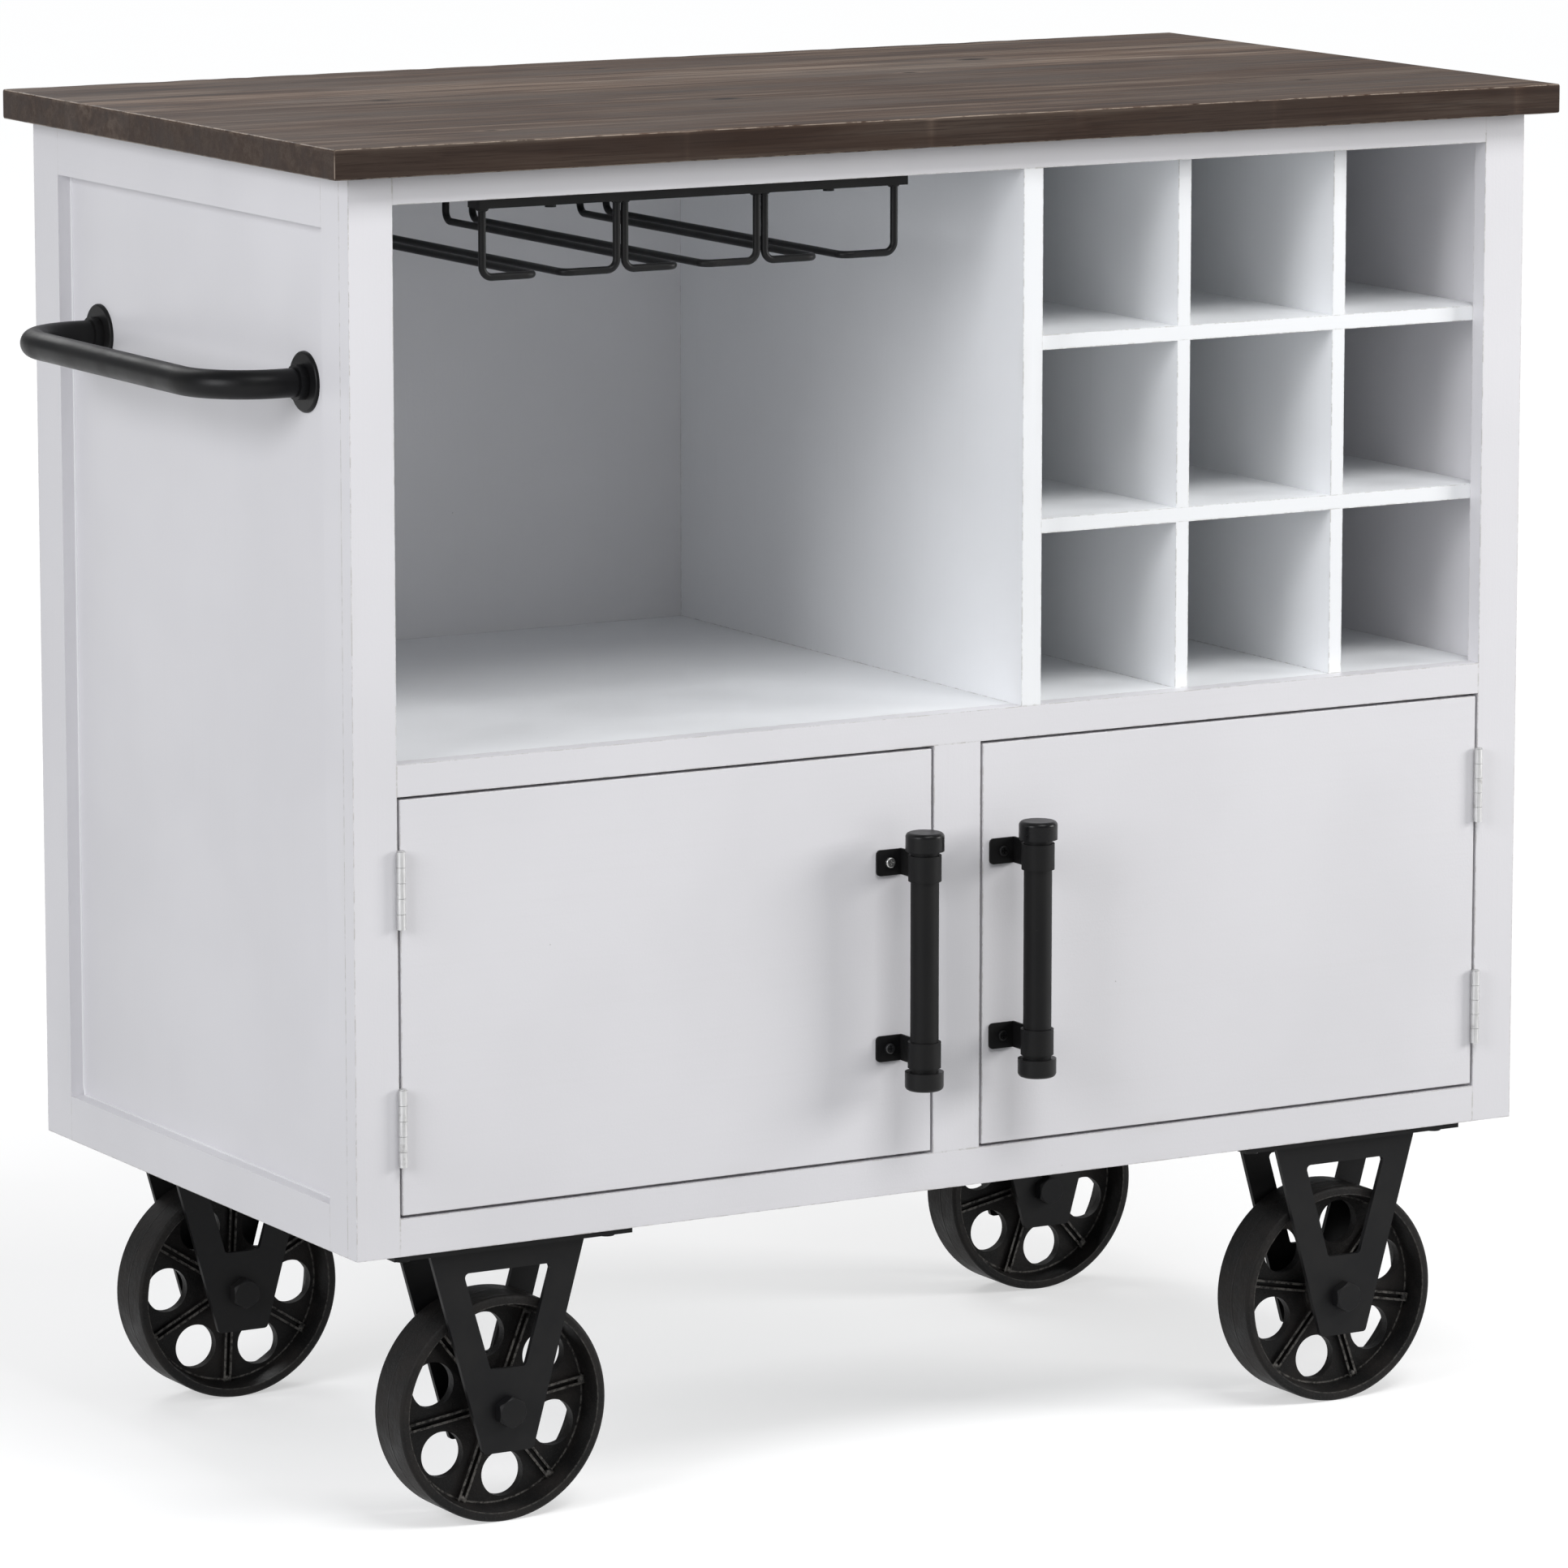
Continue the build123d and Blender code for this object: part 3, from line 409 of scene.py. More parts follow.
def painted_wood(name, low, high, tone=(0.735, 0.728, 0.752), along="X"):
    """Paint for a board that fills the box from low to high, with its grain along one axis."""
    paint = Finish(name, roughness=0.36, specular=0.42)
    peel = paint.cloud(paint.place, 620.0, 2.0)
    wave = paint.cloud(paint.place, 13.0, 3.0)
    grain_scale = {"X": (4.0, 260.0, 260.0), "Y": (260.0, 4.0, 260.0), "Z": (260.0, 260.0, 4.0)}[along]
    grain = paint.cloud(paint.stretch(paint.place, grain_scale), 1.3, 3.0, 0.6)
    drift = paint.cloud(paint.place, 5.0, 3.0)
    dust = paint.add("ShaderNodeTexVoronoi", feature="F1")
    paint.put(paint.place, dust.inputs["Vector"])
    dust.inputs["Scale"].default_value = 46.0
    speck = paint.step(dust.outputs["Distance"], 0.030, 0.016)
    rare = paint.step(paint.axis(dust.outputs["Color"], "X"), 0.84, 0.87)
    reach = paint.corner_distance(low, high)
    ragged = paint.cloud(paint.place, 140.0, 4.0, 0.7)
    edge_dirt_and_shade_noise = paint.cloud(paint.place, 9.0, 3.0, 0.6)
    white = paint.tint(paint.step(drift, 0.35, 0.7), tone, tuple(c * 0.955 for c in tone))
    white = paint.tint(paint.step(grain, 0.55, 0.75, 0.0, 0.05), white, (0.62, 0.61, 0.59))
    # Painted shade with some dirt: a blotchy grey darkening within 9 mm of every edge of the board, standing
    # in for the shade where boards meet.
    edge_dirt_and_painted_shade = paint.maths("MULTIPLY", paint.step(reach, 9.0 * MM, 0.5 * MM),
                         paint.step(edge_dirt_and_shade_noise, 0.5, 0.78, 0.0, 0.24))
    white = paint.tint(edge_dirt_and_painted_shade, white, (0.60, 0.59, 0.57))
    crack = paint.maths("MULTIPLY", paint.step(reach, 0.9 * MM, 0.15 * MM),
                        paint.step(ragged, 0.43, 0.60, 0.12, 0.62))
    white = paint.tint(crack, white, (0.42, 0.40, 0.37))
    dirt = paint.maths("MULTIPLY", speck, paint.maths("MULTIPLY", rare, 0.55))
    white = paint.tint(dirt, white, (0.30, 0.29, 0.28))
    gloss = paint.step(wave, 0.3, 0.7, 0.31, 0.42)
    bump = paint.relief(peel, 0.05 * MM)
    bump = paint.relief(grain, 0.05 * MM, bump)
    bump = paint.relief(wave, 0.5 * MM, bump, 0.6)
    bump = paint.relief(crack, -0.12 * MM, bump)
    return paint.finish(colour=white, roughness=gloss, normal=bump)


def dress(node, material):
    """Puts one material on every slot of a CAD node."""
    for material_slot in frame["nodes"][node].material_slots:
        material_slot.material = material


# each painted board, with the axis its grain runs along
painted_nodes = {
    "top_panel": "X", "mid_shelf": "X", "bottom_panel": "X", "back_panel": "Z", "bay_divider": "Z",
    "face_top_rail": "X", "face_mid_rail": "X", "face_bottom_rail": "X", "face_centre_stile": "Z",
    "face_stile_left": "Z", "face_stile_right": "Z", "cubby_shelf_lower": "X", "cubby_shelf_upper": "X",
    "cubby_upright_left": "Z", "cubby_upright_right": "Z", "left_side_panel": "Z", "right_side_panel": "Z",
    "left_side_stiles": "Z", "right_side_stiles": "Z", "left_side_rails": "Y", "right_side_rails": "Y",
    "left_door": "X", "right_door": "X",
}
# Painted light: the boards inside the bay and the cubbies get a lighter copy of the white paint, which
# brightens their shaded insides.
inside_painted_light_white = (0.875, 0.888, 0.905)
# The back panel gets a darker grey paint than the boards in front of it.
back_panel_grey = (0.76, 0.76, 0.775)
inside_nodes = ("mid_shelf", "bay_divider", "cubby_shelf_lower", "cubby_shelf_upper", "cubby_upright_left",
                "cubby_upright_right", "top_panel", "bottom_panel")
for node, along in painted_nodes.items():
    tones = {"tone": inside_painted_light_white} if node in inside_nodes else {}
    if node == "back_panel":
        tones = {"tone": back_panel_grey}
    dress(node, painted_wood(f"paint_{node}", *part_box(node), along=along, **tones))

# --- Black steel hardware -----------------------------------------------------------------
# Push handle, flanges, door pulls, glass rack, axle hardware and caster forks: mild steel with a
# satin black powder coat, which has a very fine orange peel and a slightly browner worn tone.

def powder_coat(name, roughness=0.40, shade=1.0):
    """Satin black coat; shade scales how light the black is."""
    coat = Finish(name, roughness=roughness, specular=0.17)
    peel = coat.cloud(coat.place, 1500.0, 2.0)
    drift = coat.cloud(coat.place, 24.0, 4.0, 0.6)
    scuff = coat.cloud(coat.stretch(coat.place, (1.0, 1.0, 2.6)), 210.0, 4.0, 0.72)
    dark = coat.tint(coat.step(drift, 0.35, 0.7), tuple(shade * c for c in (0.0048, 0.0049, 0.0054)),
                     tuple(shade * c for c in (0.0085, 0.0083, 0.0083)))
    dark = coat.tint(coat.step(scuff, 0.66, 0.80, 0.0, 0.35), dark, (0.055, 0.053, 0.050))
    gloss = coat.step(drift, 0.3, 0.7, roughness - 0.06, roughness + 0.08)
    bump = coat.relief(peel, 0.03 * MM)
    bump = coat.relief(scuff, 0.03 * MM, bump)
    return coat.finish(colour=dark, roughness=gloss, normal=bump)


satin_black = powder_coat("satin_black_coat")
for node in ("push_handle_bar", "push_handle_flanges", "rack_bars", "rack_wires", "rack_screws",
             "caster_screws"):
    dress(node, satin_black)
pull_black = powder_coat("pull_black_coat", roughness=0.50, shade=0.7)
for node in ("left_pull_pipe", "right_pull_pipe", "left_pull_clamps", "right_pull_clamps"):
    dress(node, pull_black)
moulded_black = powder_coat("moulded_black_caps", roughness=0.30)
for node in ("left_pull_caps", "right_pull_caps"):
    dress(node, moulded_black)
fork_black = powder_coat("fork_black_coat", roughness=0.46, shade=1.15)
for node in [n for n in frame["nodes"] if n.endswith("caster_bracket")]:
    dress(node, fork_black)
for node in ("axle_bolts", "axle_nuts"):
    dress(node, fork_black)

# --- Door screws --------------------------------------------------------------------------
# Black pan-head screws hold the pulls and the hinge leaves. The left pull's upper screw was put in
# bare, so its zinc shows.

def door_screw_steel(name, bare_above):
    """Black screws, but bare steel above the height bare_above near the pull."""
    screw = Finish(name, roughness=0.38)
    peel = screw.cloud(screw.place, 1500.0, 2.0)
    z = screw.axis(screw.place, "Z")
    x = screw.axis(screw.place, "X")
    bare = screw.maths("MULTIPLY", screw.step(z, bare_above - MM, bare_above + MM),
                       screw.step(x, -0.2 - MM, -0.2 + MM))
    tone = screw.tint(bare, (0.014, 0.014, 0.015), (0.55, 0.55, 0.54))
    tone = screw.tint(screw.step(peel, 0.4, 0.7, 0.0, 0.3), tone, (0.05, 0.05, 0.05))
    screw.put(bare, screw.shader.inputs["Metallic"])
    return screw.finish(colour=tone, normal=screw.relief(peel, 0.03 * MM))


pull_low, pull_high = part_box("left_pull_clamps")
dress("left_door_screws", door_screw_steel("left_door_screw_steel", (pull_low.z + pull_high.z) / 2))
dress("right_door_screws", satin_black)

# --- Hinges, strikes and small bright parts -----------------------------------------------
# Pressed steel with zinc plating that has dulled to a pale grey, with faint brushing along its
# length and a few darker marks.

def dull_zinc(name, tone=(0.60, 0.60, 0.60)):
    """Dulled plating, brushed along Z."""
    zinc = Finish(name, metallic=0.85, roughness=0.42)
    brush = zinc.cloud(zinc.stretch(zinc.place, (900.0, 900.0, 60.0)), 1.0, 3.0, 0.6)
    marks = zinc.cloud(zinc.place, 130.0, 4.0, 0.65)
    grey = zinc.tint(zinc.step(brush, 0.35, 0.7), tone, tuple(0.8 * c for c in tone))
    grey = zinc.tint(zinc.step(marks, 0.56, 0.72, 0.0, 0.5), grey, (0.28, 0.27, 0.26))
    return zinc.finish(colour=grey, roughness=zinc.step(marks, 0.3, 0.7, 0.36, 0.55),
                       normal=zinc.relief(brush, 0.02 * MM))


bright_zinc = dull_zinc("dull_zinc")
for node in ("left_hinge_frame_leaves", "right_hinge_frame_leaves", "left_hinge_door_leaves",
             "right_hinge_door_leaves", "hinge_pins", "hinge_frame_screws", "left_strike", "right_strike",
             "push_handle_bolts", "axle_sleeves"):
    dress(node, bright_zinc)

# --- Magnetic catches ---------------------------------------------------------------------
# Moulded white plastic bodies with a slightly pebbled skin, screwed under the mid shelf.

catch = Finish("catch_plastic", roughness=0.45)
pebble = catch.cloud(catch.place, 1100.0, 2.0)
catch_white = catch.tint(pebble, (0.74, 0.74, 0.73), (0.79, 0.79, 0.78))
dress("magnetic_catches", catch.finish(colour=catch_white, normal=catch.relief(pebble, 0.04 * MM)))

# --- Wheels -------------------------------------------------------------------------------
# Sand-cast iron, dipped in thin black paint. The sand leaves a rough skin, and the paint has rubbed
# through in pale grains along the rim's inner lip and on top of the ribs.

wheel_names = [name for name in frame["nodes"] if name.endswith("_wheel")]
lip_radius = 70.0 * MM         # inner edge of the rim at its open side
root_radius = 66.3 * MM        # where the ribs run into the rim
hub_edge = 21.0 * MM
line_half = 0.9 * MM           # half the width of a rubbed line


def cast_iron(name, low, high):
    """Iron for a wheel that fills the box from low to high and turns about the box's middle, on Y."""
    iron = Finish(name, roughness=0.55, specular=0.15)
    middle = tuple((a + b) / 2 for a, b in zip(low, high))
    spot = iron.stretch(iron.place, (1.0, 1.0, 1.0), tuple(-m for m in middle))
    x, y, z = (iron.axis(spot, letter) for letter in "XYZ")
    radius = iron.maths("SQRT", iron.maths("ADD", iron.maths("MULTIPLY", x, x),
                                           iron.maths("MULTIPLY", z, z)))
    depth = iron.maths("ABSOLUTE", y)
    sand = iron.cloud(spot, 900.0, 3.0, 0.7)
    lumps = iron.cloud(spot, 190.0, 3.0, 0.6)
    drift = iron.cloud(spot, 30.0, 4.0, 0.6)
    ragged = iron.cloud(spot, 260.0, 4.0, 0.75)
    dark = iron.tint(iron.step(drift, 0.35, 0.7), (0.007, 0.007, 0.007), (0.016, 0.014, 0.013))
    dark = iron.tint(iron.step(sand, 0.55, 0.75, 0.0, 0.5), dark, (0.045, 0.042, 0.039))
    lip = iron.step(iron.maths("ABSOLUTE", iron.maths("SUBTRACT", radius, lip_radius)), line_half, 0.3 * MM)
    lip = iron.maths("MULTIPLY", iron.maths("MULTIPLY", lip, iron.step(depth, 18.4 * MM, 19.2 * MM)), 0.45)
    root = iron.step(iron.maths("ABSOLUTE", iron.maths("SUBTRACT", radius, root_radius)),
                     line_half, 0.3 * MM)
    root = iron.maths("MULTIPLY", root, iron.step(depth, 7.0 * MM, 6.0 * MM))
    rib = iron.maths("MULTIPLY", iron.step(depth, 6.0 * MM, 6.5 * MM),
                     iron.step(radius, 68.0 * MM, 66.0 * MM))
    rib = iron.maths("MULTIPLY", rib, iron.step(radius, 18.0 * MM, hub_edge))
    rubbed = iron.maths("MAXIMUM", iron.maths("MAXIMUM", lip, root), rib)
    rubbed = iron.maths("MULTIPLY", rubbed, iron.step(ragged, 0.36, 0.62, 0.0, 0.6))
    dark = iron.tint(rubbed, dark, (0.20, 0.19, 0.175))
    parting = iron.maths("MULTIPLY", iron.step(depth, 1.0 * MM, 0.3 * MM),
                         iron.step(radius, 74.0 * MM, 76.0 * MM))
    bump = iron.relief(sand, 0.22 * MM)
    bump = iron.relief(lumps, 0.5 * MM, bump)
    bump = iron.relief(parting, 0.5 * MM, bump)
    return iron.finish(colour=dark, roughness=iron.step(drift, 0.3, 0.7, 0.42, 0.62), normal=bump)


for name in wheel_names:
    dress(name, cast_iron(f"iron_{name}", *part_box(name)))

# --- Paint beads in the side recesses -----------------------------------------------------
# Where the flat trim is planted on the side panel, the painter ran a thin bead of filler into the
# corner all round the recess. It wanders a little and was painted over.

def empty_tree(name, sockets):
    """A Geometry Nodes tree with a geometry input, the named inputs, and a geometry output."""
    tree = bpy.data.node_groups.new(name, "GeometryNodeTree")
    tree.interface.new_socket("Geometry", in_out="INPUT", socket_type="NodeSocketGeometry")
    for label, kind in sockets:
        tree.interface.new_socket(label, in_out="INPUT", socket_type=f"NodeSocket{kind}")
    tree.interface.new_socket("Geometry", in_out="OUTPUT", socket_type="NodeSocketGeometry")
    return tree, tree.nodes.new("NodeGroupInput").outputs, tree.nodes.new("NodeGroupOutput").inputs


def tree_node(tree, kind, links=(), **settings):
    """A node with its settings made, and its inputs wired or set by name or number."""
    node = tree.nodes.new(kind)
    for key, value in settings.items():
        setattr(node, key, value)
    for key, value in dict(links).items():
        if isinstance(value, bpy.types.NodeSocket):
            tree.links.new(value, node.inputs[key])
        else:
            node.inputs[key].default_value = value
    return node


def grow(name, base, tree, values, body, sharp=50.0):
    """Runs tree on the base mesh with those inputs, and makes a plain piece of the result."""
    carrier = bpy.data.objects.new(f"{name}_carrier", base)
    bpy.context.scene.collection.objects.link(carrier)
    modifier = carrier.modifiers.new(name, "NODES")
    modifier.node_group = tree
    sockets = {item.name: item.identifier for item in tree.interface.items_tree if item.in_out == "INPUT"}
    for label, value in values.items():
        modifier[sockets[label]] = value
    carrier.update_tag()
    seen = carrier.evaluated_get(bpy.context.evaluated_depsgraph_get())
    data = bpy.data.meshes.new_from_object(seen)
    carrier.modifiers.remove(modifier)
    bpy.data.objects.remove(carrier)
    material = values["Finish"]
    mesh = bmesh.new()
    mesh.from_mesh(data)
    bmesh.ops.remove_doubles(mesh, verts=mesh.verts, dist=1e-6)
    bmesh.ops.recalc_face_normals(mesh, faces=mesh.faces)
    return smooth_piece(name, mesh, material, body, sharp)


def bead_tree():
    """A round bead along each edge of the base mesh, wandering by Wander, of that Radius."""
    tree, given, result = empty_tree("bead_along_path", (
        ("Radius", "Float"), ("Step", "Float"), ("Wander", "Float"), ("Swell", "Float"), ("Grain", "Float"),
        ("Seed", "Int"), ("Finish", "Material")))
    path = tree_node(tree, "GeometryNodeMeshToCurve", {"Mesh": given["Geometry"]})
    path = tree_node(tree, "GeometryNodeResampleCurve", {"Curve": path.outputs[0], "Length": given["Step"]},
                     mode="LENGTH")
    spot = tree_node(tree, "GeometryNodeInputPosition")
    drift = tree_node(tree, "ShaderNodeTexNoise", {
        "Vector": spot.outputs[0], "W": given["Seed"], "Scale": given["Grain"], "Detail": 2.0},
        noise_dimensions="4D")
    centred = tree_node(tree, "ShaderNodeVectorMath", {0: drift.outputs["Color"], 1: (0.5, 0.5, 0.5)},
                        operation="SUBTRACT")
    offset = tree_node(tree, "ShaderNodeVectorMath", {0: centred.outputs[0], "Scale": given["Wander"]},
                       operation="SCALE")
    path = tree_node(tree, "GeometryNodeSetPosition", {
        "Geometry": path.outputs[0], "Offset": offset.outputs[0]})
    swell = tree_node(tree, "ShaderNodeMath", {0: drift.outputs["Fac"], 1: given["Swell"]},
                      operation="MULTIPLY")
    size = tree_node(tree, "ShaderNodeMath", {0: swell.outputs[0], 1: given["Radius"]}, operation="ADD")
    path = tree_node(tree, "GeometryNodeSetCurveRadius", {
        "Curve": path.outputs[0], "Radius": size.outputs[0]})
    ring = tree_node(tree, "GeometryNodeCurvePrimitiveCircle", {"Resolution": 10, "Radius": 1.0})
    solid = tree_node(tree, "GeometryNodeCurveToMesh", {
        "Curve": path.outputs[0], "Profile Curve": ring.outputs[0], "Fill Caps": True,
        "Scale": size.outputs[0]})
    real = tree_node(tree, "GeometryNodeRealizeInstances", {0: solid.outputs[0]})
    done = tree_node(tree, "GeometryNodeSetMaterial", {
        "Geometry": real.outputs[0], "Material": given["Finish"]})
    tree.links.new(done.outputs[0], result["Geometry"])
    return tree


def edge_mesh(name, loops, closed):
    """A mesh of bare edges through each list of points, with its ends joined if closed."""
    data = bpy.data.meshes.new(name)
    points, edges = [], []
    for loop in loops:
        start = len(points)
        points += [tuple(point) for point in loop]
        edges += [(start + i, start + i + 1) for i in range(len(loop) - 1)]
        if closed:
            edges.append((start + len(loop) - 1, start))
    data.from_pydata(points, edges, [])
    return data


recess_top_rail = 35.0 * MM    # height of the trim rail above the recess, and of the one below it
recess_bottom_rail = 31.0 * MM
filler_radius = 0.55 * MM
filler_step = 8.0 * MM
filler_wander = 0.35 * MM
filler_swell = 0.9 * MM
path_bead = bead_tree()
recess_loops = []
recess_faces = (("left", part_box("left_side_panel")[0].x), ("right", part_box("right_side_panel")[1].x))
for side, face in recess_faces:
    rail_low, rail_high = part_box(f"{side}_side_rails")
    low_z, high_z = rail_low.z + recess_bottom_rail, rail_high.z - recess_top_rail
    recess_loops.append([(face, rail_low.y, low_z), (face, rail_high.y, low_z),
                         (face, rail_high.y, high_z), (face, rail_low.y, high_z)])
bead_paint = painted_wood("paint_recess_beads", Vector((-1, -1, -1)), Vector((1, 1, 1)), (0.77, 0.775, 0.79))
grow("recess_filler_beads", edge_mesh("recess_paths", recess_loops, True), path_bead, {
    "Radius": filler_radius, "Step": filler_step, "Wander": filler_wander, "Swell": filler_swell,
    "Grain": 40.0, "Seed": 3,
    "Finish": bead_paint}, "cabinet")

# --- Weld beads on the casters ------------------------------------------------------------
# Each fork plate is welded to its mounting plate with one run of bead on the outside and one on
# the inside, rippled where the arc stepped along, then powder coated with the rest.

weld_inset = 3.0 * MM
fork_half_gap = 22.0 * MM      # from the wheel's middle to the inside of a fork plate
fork_thick = 3.5 * MM
fork_top_half = 57.5 * MM
plate_thick = 4.0 * MM
weld_ripple = 1.6 * MM
weld_radius = 0.9 * MM
weld_wander = 0.5 * MM
weld_swell = 1.8 * MM
weld_sharp = 80.0
weld_runs = []
for node in [n for n in frame["nodes"] if n.endswith("caster_bracket")]:
    low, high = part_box(node)
    middle_x, middle_y, plate_z = (low.x + high.x) / 2, (low.y + high.y) / 2, high.z - plate_thick
    for side in (-1, 1):
        for reach in (fork_half_gap, fork_half_gap + fork_thick):
            y = middle_y + side * reach
            weld_runs.append([(middle_x - fork_top_half + weld_inset, y, plate_z),
                              (middle_x + fork_top_half - weld_inset, y, plate_z)])
grow("caster_weld_beads", edge_mesh("weld_paths", weld_runs, False), path_bead, {
    "Radius": weld_radius, "Step": weld_ripple, "Wander": weld_wander, "Swell": weld_swell,
    "Grain": 420.0, "Seed": 8, "Finish": fork_black}, "cabinet", weld_sharp)

# --- Small cast and welded lumps ----------------------------------------------------------
# Lumps of metal set at regular places: the nubs that the casting leaves at the ends of the wheel's
# ribs, and the nuggets that weld each rack wire to its two bars.

def lump_tree():
    """One rough lump at each point of the base mesh, of that Size, give or take Spread."""
    tree, given, result = empty_tree("lump_at_each_point", (
        ("Size", "Vector"), ("Spread", "Float"), ("Rough", "Float"), ("Grain", "Float"), ("Seed", "Int"),
        ("Finish", "Material")))
    points = tree_node(tree, "GeometryNodeMeshToPoints", {"Mesh": given["Geometry"]})
    lump = tree_node(tree, "GeometryNodeMeshIcoSphere", {"Radius": 1.0, "Subdivisions": 3})
    low = tree_node(tree, "ShaderNodeMath", {0: 1.0, 1: given["Spread"]}, operation="SUBTRACT")
    high = tree_node(tree, "ShaderNodeMath", {0: 1.0, 1: given["Spread"]}, operation="ADD")
    share = tree_node(tree, "FunctionNodeRandomValue", {
        2: low.outputs[0], 3: high.outputs[0], "Seed": given["Seed"]}, data_type="FLOAT")
    size = tree_node(tree, "ShaderNodeVectorMath", {0: given["Size"], "Scale": share.outputs[1]},
                     operation="SCALE")
    placed = tree_node(tree, "GeometryNodeInstanceOnPoints", {
        "Points": points.outputs[0], "Instance": lump.outputs["Mesh"], "Scale": size.outputs[0]})
    real = tree_node(tree, "GeometryNodeRealizeInstances", {0: placed.outputs[0]})
    spot = tree_node(tree, "GeometryNodeInputPosition")
    drift = tree_node(tree, "ShaderNodeTexNoise", {
        "Vector": spot.outputs[0], "W": given["Seed"], "Scale": given["Grain"], "Detail": 2.0},
        noise_dimensions="4D")
    centred = tree_node(tree, "ShaderNodeVectorMath", {0: drift.outputs["Color"], 1: (0.5, 0.5, 0.5)},
                        operation="SUBTRACT")
    offset = tree_node(tree, "ShaderNodeVectorMath", {0: centred.outputs[0], "Scale": given["Rough"]},
                       operation="SCALE")
    bumpy = tree_node(tree, "GeometryNodeSetPosition", {
        "Geometry": real.outputs[0], "Offset": offset.outputs[0]})
    done = tree_node(tree, "GeometryNodeSetMaterial", {
        "Geometry": bumpy.outputs[0], "Material": given["Finish"]})
    tree.links.new(done.outputs[0], result["Geometry"])
    return tree


def point_mesh(name, points):
    """A mesh of loose points."""
    data = bpy.data.meshes.new(name)
    data.from_pydata([tuple(point) for point in points], [], [])
    return data


each_lump = lump_tree()
# how far each wheel has rolled, in degrees, which places the ends of its ribs
wheel_turns = {"front_left": 8.0, "front_right": -11.0, "rear_left": 27.0, "rear_right": 11.0}
rib_count = 6
rib_end_radius = 65.6 * MM
rib_top = 4.2 * MM             # from the wheel's mid plane
nub_size = (3.3 * MM, 3.2 * MM, 3.3 * MM)
nub_rough = 1.1 * MM
for place, turn in wheel_turns.items():
    low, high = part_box(f"{place}_wheel")
    middle = (low + high) / 2
    spots = []
    for i in range(rib_count):
        angle = math.radians(turn + 360.0 * i / rib_count)
        for side in (-1, 1):
            spots.append(middle + Vector((rib_end_radius * math.cos(angle), side * rib_top,
                                          rib_end_radius * math.sin(angle))))
    grow(f"{place}_rib_nubs", point_mesh(f"{place}_rib_ends", spots), each_lump, {
        "Size": nub_size, "Spread": 0.14, "Rough": nub_rough, "Grain": 210.0,
        "Seed": 11 + len(place), "Finish": frame["nodes"][f"{place}_wheel"].material_slots[0].material},
        f"{place}_wheel")

rack_channel = 98.5 * MM       # between the two wires of one channel
rack_pair = 5.9 * MM           # between the neighbouring wires of two channels
rack_channels = 3
nugget_size = (3.6 * MM, 2.6 * MM, 2.0 * MM)
nugget_lean = 1.6 * MM         # each side of the wire
nugget_sink = 0.4 * MM
nugget_rough = 1.0 * MM
wire_low, wire_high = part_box("rack_wires")
wire_half = ((wire_high.x - wire_low.x) - rack_channels * rack_channel - (rack_channels - 1) * rack_pair) / 2
nuggets = []
for i in range(rack_channels):
    start = wire_low.x + wire_half + i * (rack_channel + rack_pair)
    for x in (start, start + rack_channel):
        for y in (wire_low.y + wire_half, wire_high.y - wire_half):
            for lean in (-1, 1):
                nuggets.append((x, y + lean * nugget_lean, wire_high.z - nugget_sink))
grow("rack_weld_nuggets", point_mesh("rack_weld_spots", nuggets), each_lump, {
    "Size": nugget_size, "Spread": 0.2, "Rough": nugget_rough, "Grain": 300.0, "Seed": 21,
    "Finish": satin_black}, "cabinet")

# --- Back panel staples -------------------------------------------------------------------
# The thin back is stapled from behind to the panels, the shelf and the sides with narrow crown
# staples, driven until the crown lies on the paint.

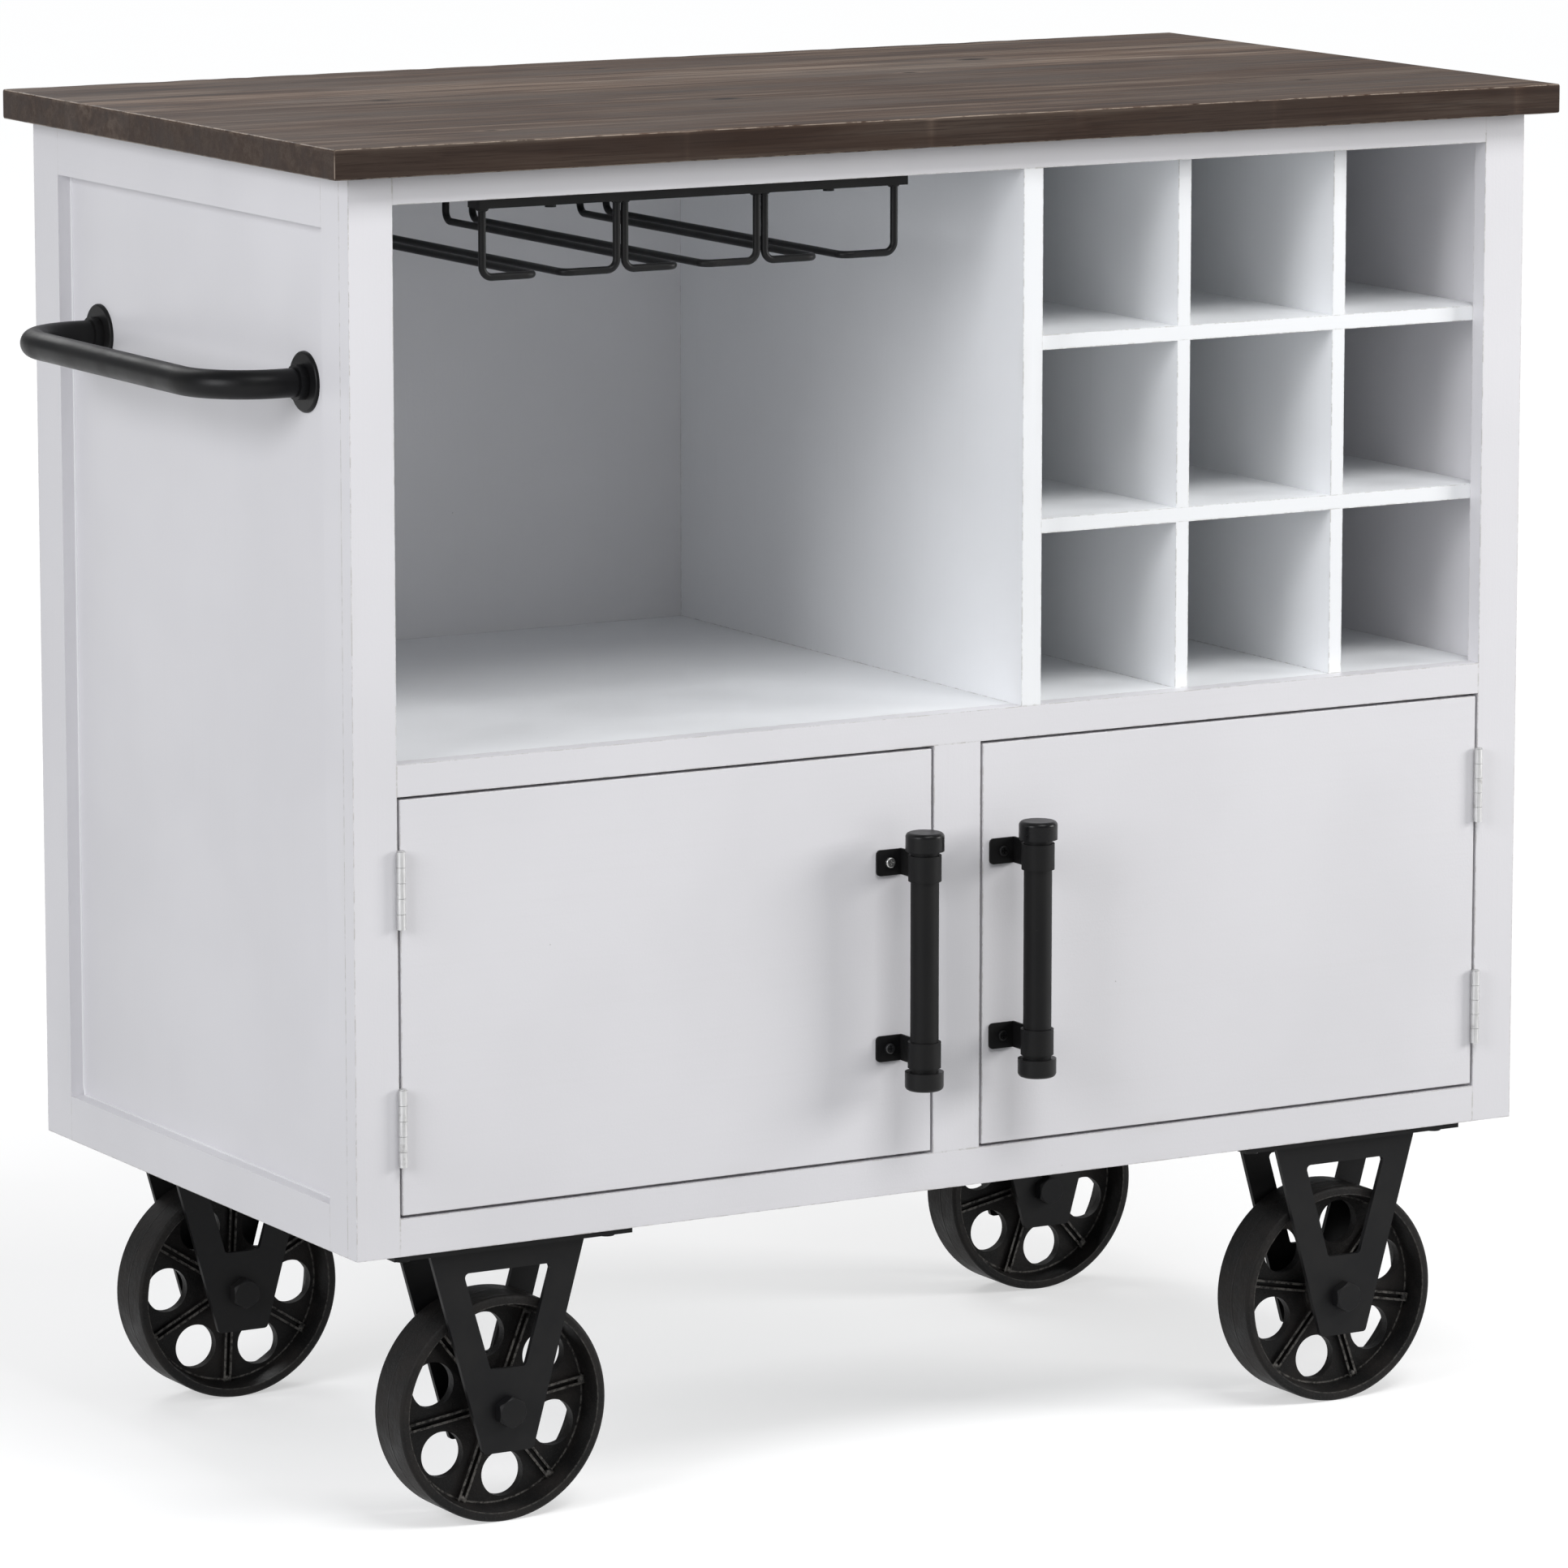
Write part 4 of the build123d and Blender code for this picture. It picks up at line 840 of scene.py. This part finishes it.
def staple_tree():
    """A wire crown between two driven legs at each point of the base mesh."""
    tree, given, result = empty_tree("staple_at_each_point", (
        ("Crown", "Float"), ("Wire", "Float"), ("Leg", "Float"), ("Turn", "Float"), ("Skew", "Float"),
        ("Seed", "Int"), ("Finish", "Material")))
    points = tree_node(tree, "GeometryNodeMeshToPoints", {"Mesh": given["Geometry"]})
    half = tree_node(tree, "ShaderNodeMath", {0: given["Crown"], 1: 0.5}, operation="MULTIPLY")
    minus = tree_node(tree, "ShaderNodeMath", {0: half.outputs[0], 1: -1.0}, operation="MULTIPLY")
    down = tree_node(tree, "ShaderNodeMath", {0: given["Leg"], 1: -1.0}, operation="MULTIPLY")
    ends = []
    for x, z in ((minus, down), (minus, None), (half, None), (half, down)):
        links = {0: x.outputs[0]}
        if z is not None:
            links[1] = z.outputs[0]
        ends.append(tree_node(tree, "ShaderNodeCombineXYZ", links))
    legs = []
    for a, b in zip(ends, ends[1:]):
        legs.append(tree_node(tree, "GeometryNodeCurvePrimitiveLine", {
            "Start": a.outputs[0], "End": b.outputs[0]}))
    row = tree.nodes.new("GeometryNodeJoinGeometry")
    ring = tree_node(tree, "GeometryNodeCurvePrimitiveCircle", {"Resolution": 8, "Radius": given["Wire"]})
    for leg in legs:
        solid = tree_node(tree, "GeometryNodeCurveToMesh", {
            "Curve": leg.outputs[0], "Profile Curve": ring.outputs[0], "Fill Caps": True})
        tree.links.new(solid.outputs[0], row.inputs[0])
    low = tree_node(tree, "ShaderNodeMath", {0: given["Turn"], 1: given["Skew"]}, operation="SUBTRACT")
    high = tree_node(tree, "ShaderNodeMath", {0: given["Turn"], 1: given["Skew"]}, operation="ADD")
    skew = tree_node(tree, "FunctionNodeRandomValue", {
        2: low.outputs[0], 3: high.outputs[0], "Seed": given["Seed"]}, data_type="FLOAT")
    turned = tree_node(tree, "ShaderNodeCombineXYZ", {1: skew.outputs[1]})
    placed = tree_node(tree, "GeometryNodeInstanceOnPoints", {
        "Points": points.outputs[0], "Instance": row.outputs[0], "Rotation": turned.outputs[0]})
    real = tree_node(tree, "GeometryNodeRealizeInstances", {0: placed.outputs[0]})
    done = tree_node(tree, "GeometryNodeSetMaterial", {
        "Geometry": real.outputs[0], "Material": given["Finish"]})
    tree.links.new(done.outputs[0], result["Geometry"])
    return tree


back_low, back_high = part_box("back_panel")
staple_inset = 7.0 * MM
staple_pitch = 72.0 * MM
staple_sink = 0.1 * MM
staple_crown = 9.0 * MM
staple_wire = 0.45 * MM        # radius
staple_leg = 4.0 * MM
staple_skew = 0.10             # radians either way
levels = [back_low.z + staple_inset, sum(v.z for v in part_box("mid_shelf")) / 2, back_high.z - staple_inset]
staple_y = back_high.y - staple_sink
across_count = int((back_high.x - back_low.x - 4 * staple_inset) / staple_pitch)
flat_spots = [(back_low.x + 2 * staple_inset + (i + 0.5) * staple_pitch, staple_y, z)
              for z in levels for i in range(across_count)]
rise_count = int((back_high.z - back_low.z) / staple_pitch)
side_spots = [(x, staple_y, back_low.z + (i + 0.6) * staple_pitch)
              for x in (back_low.x + staple_inset, back_high.x - staple_inset) for i in range(rise_count)]
each_staple = staple_tree()
for name, spots, turn in (("rail_staples", flat_spots, 0.0), ("side_staples", side_spots, math.pi / 2)):
    grow(name, point_mesh(f"{name}_spots", spots), each_staple, {
        "Crown": staple_crown, "Wire": staple_wire, "Leg": staple_leg, "Turn": turn,
        "Skew": staple_skew, "Seed": 17,
        "Finish": bright_zinc}, "cabinet")
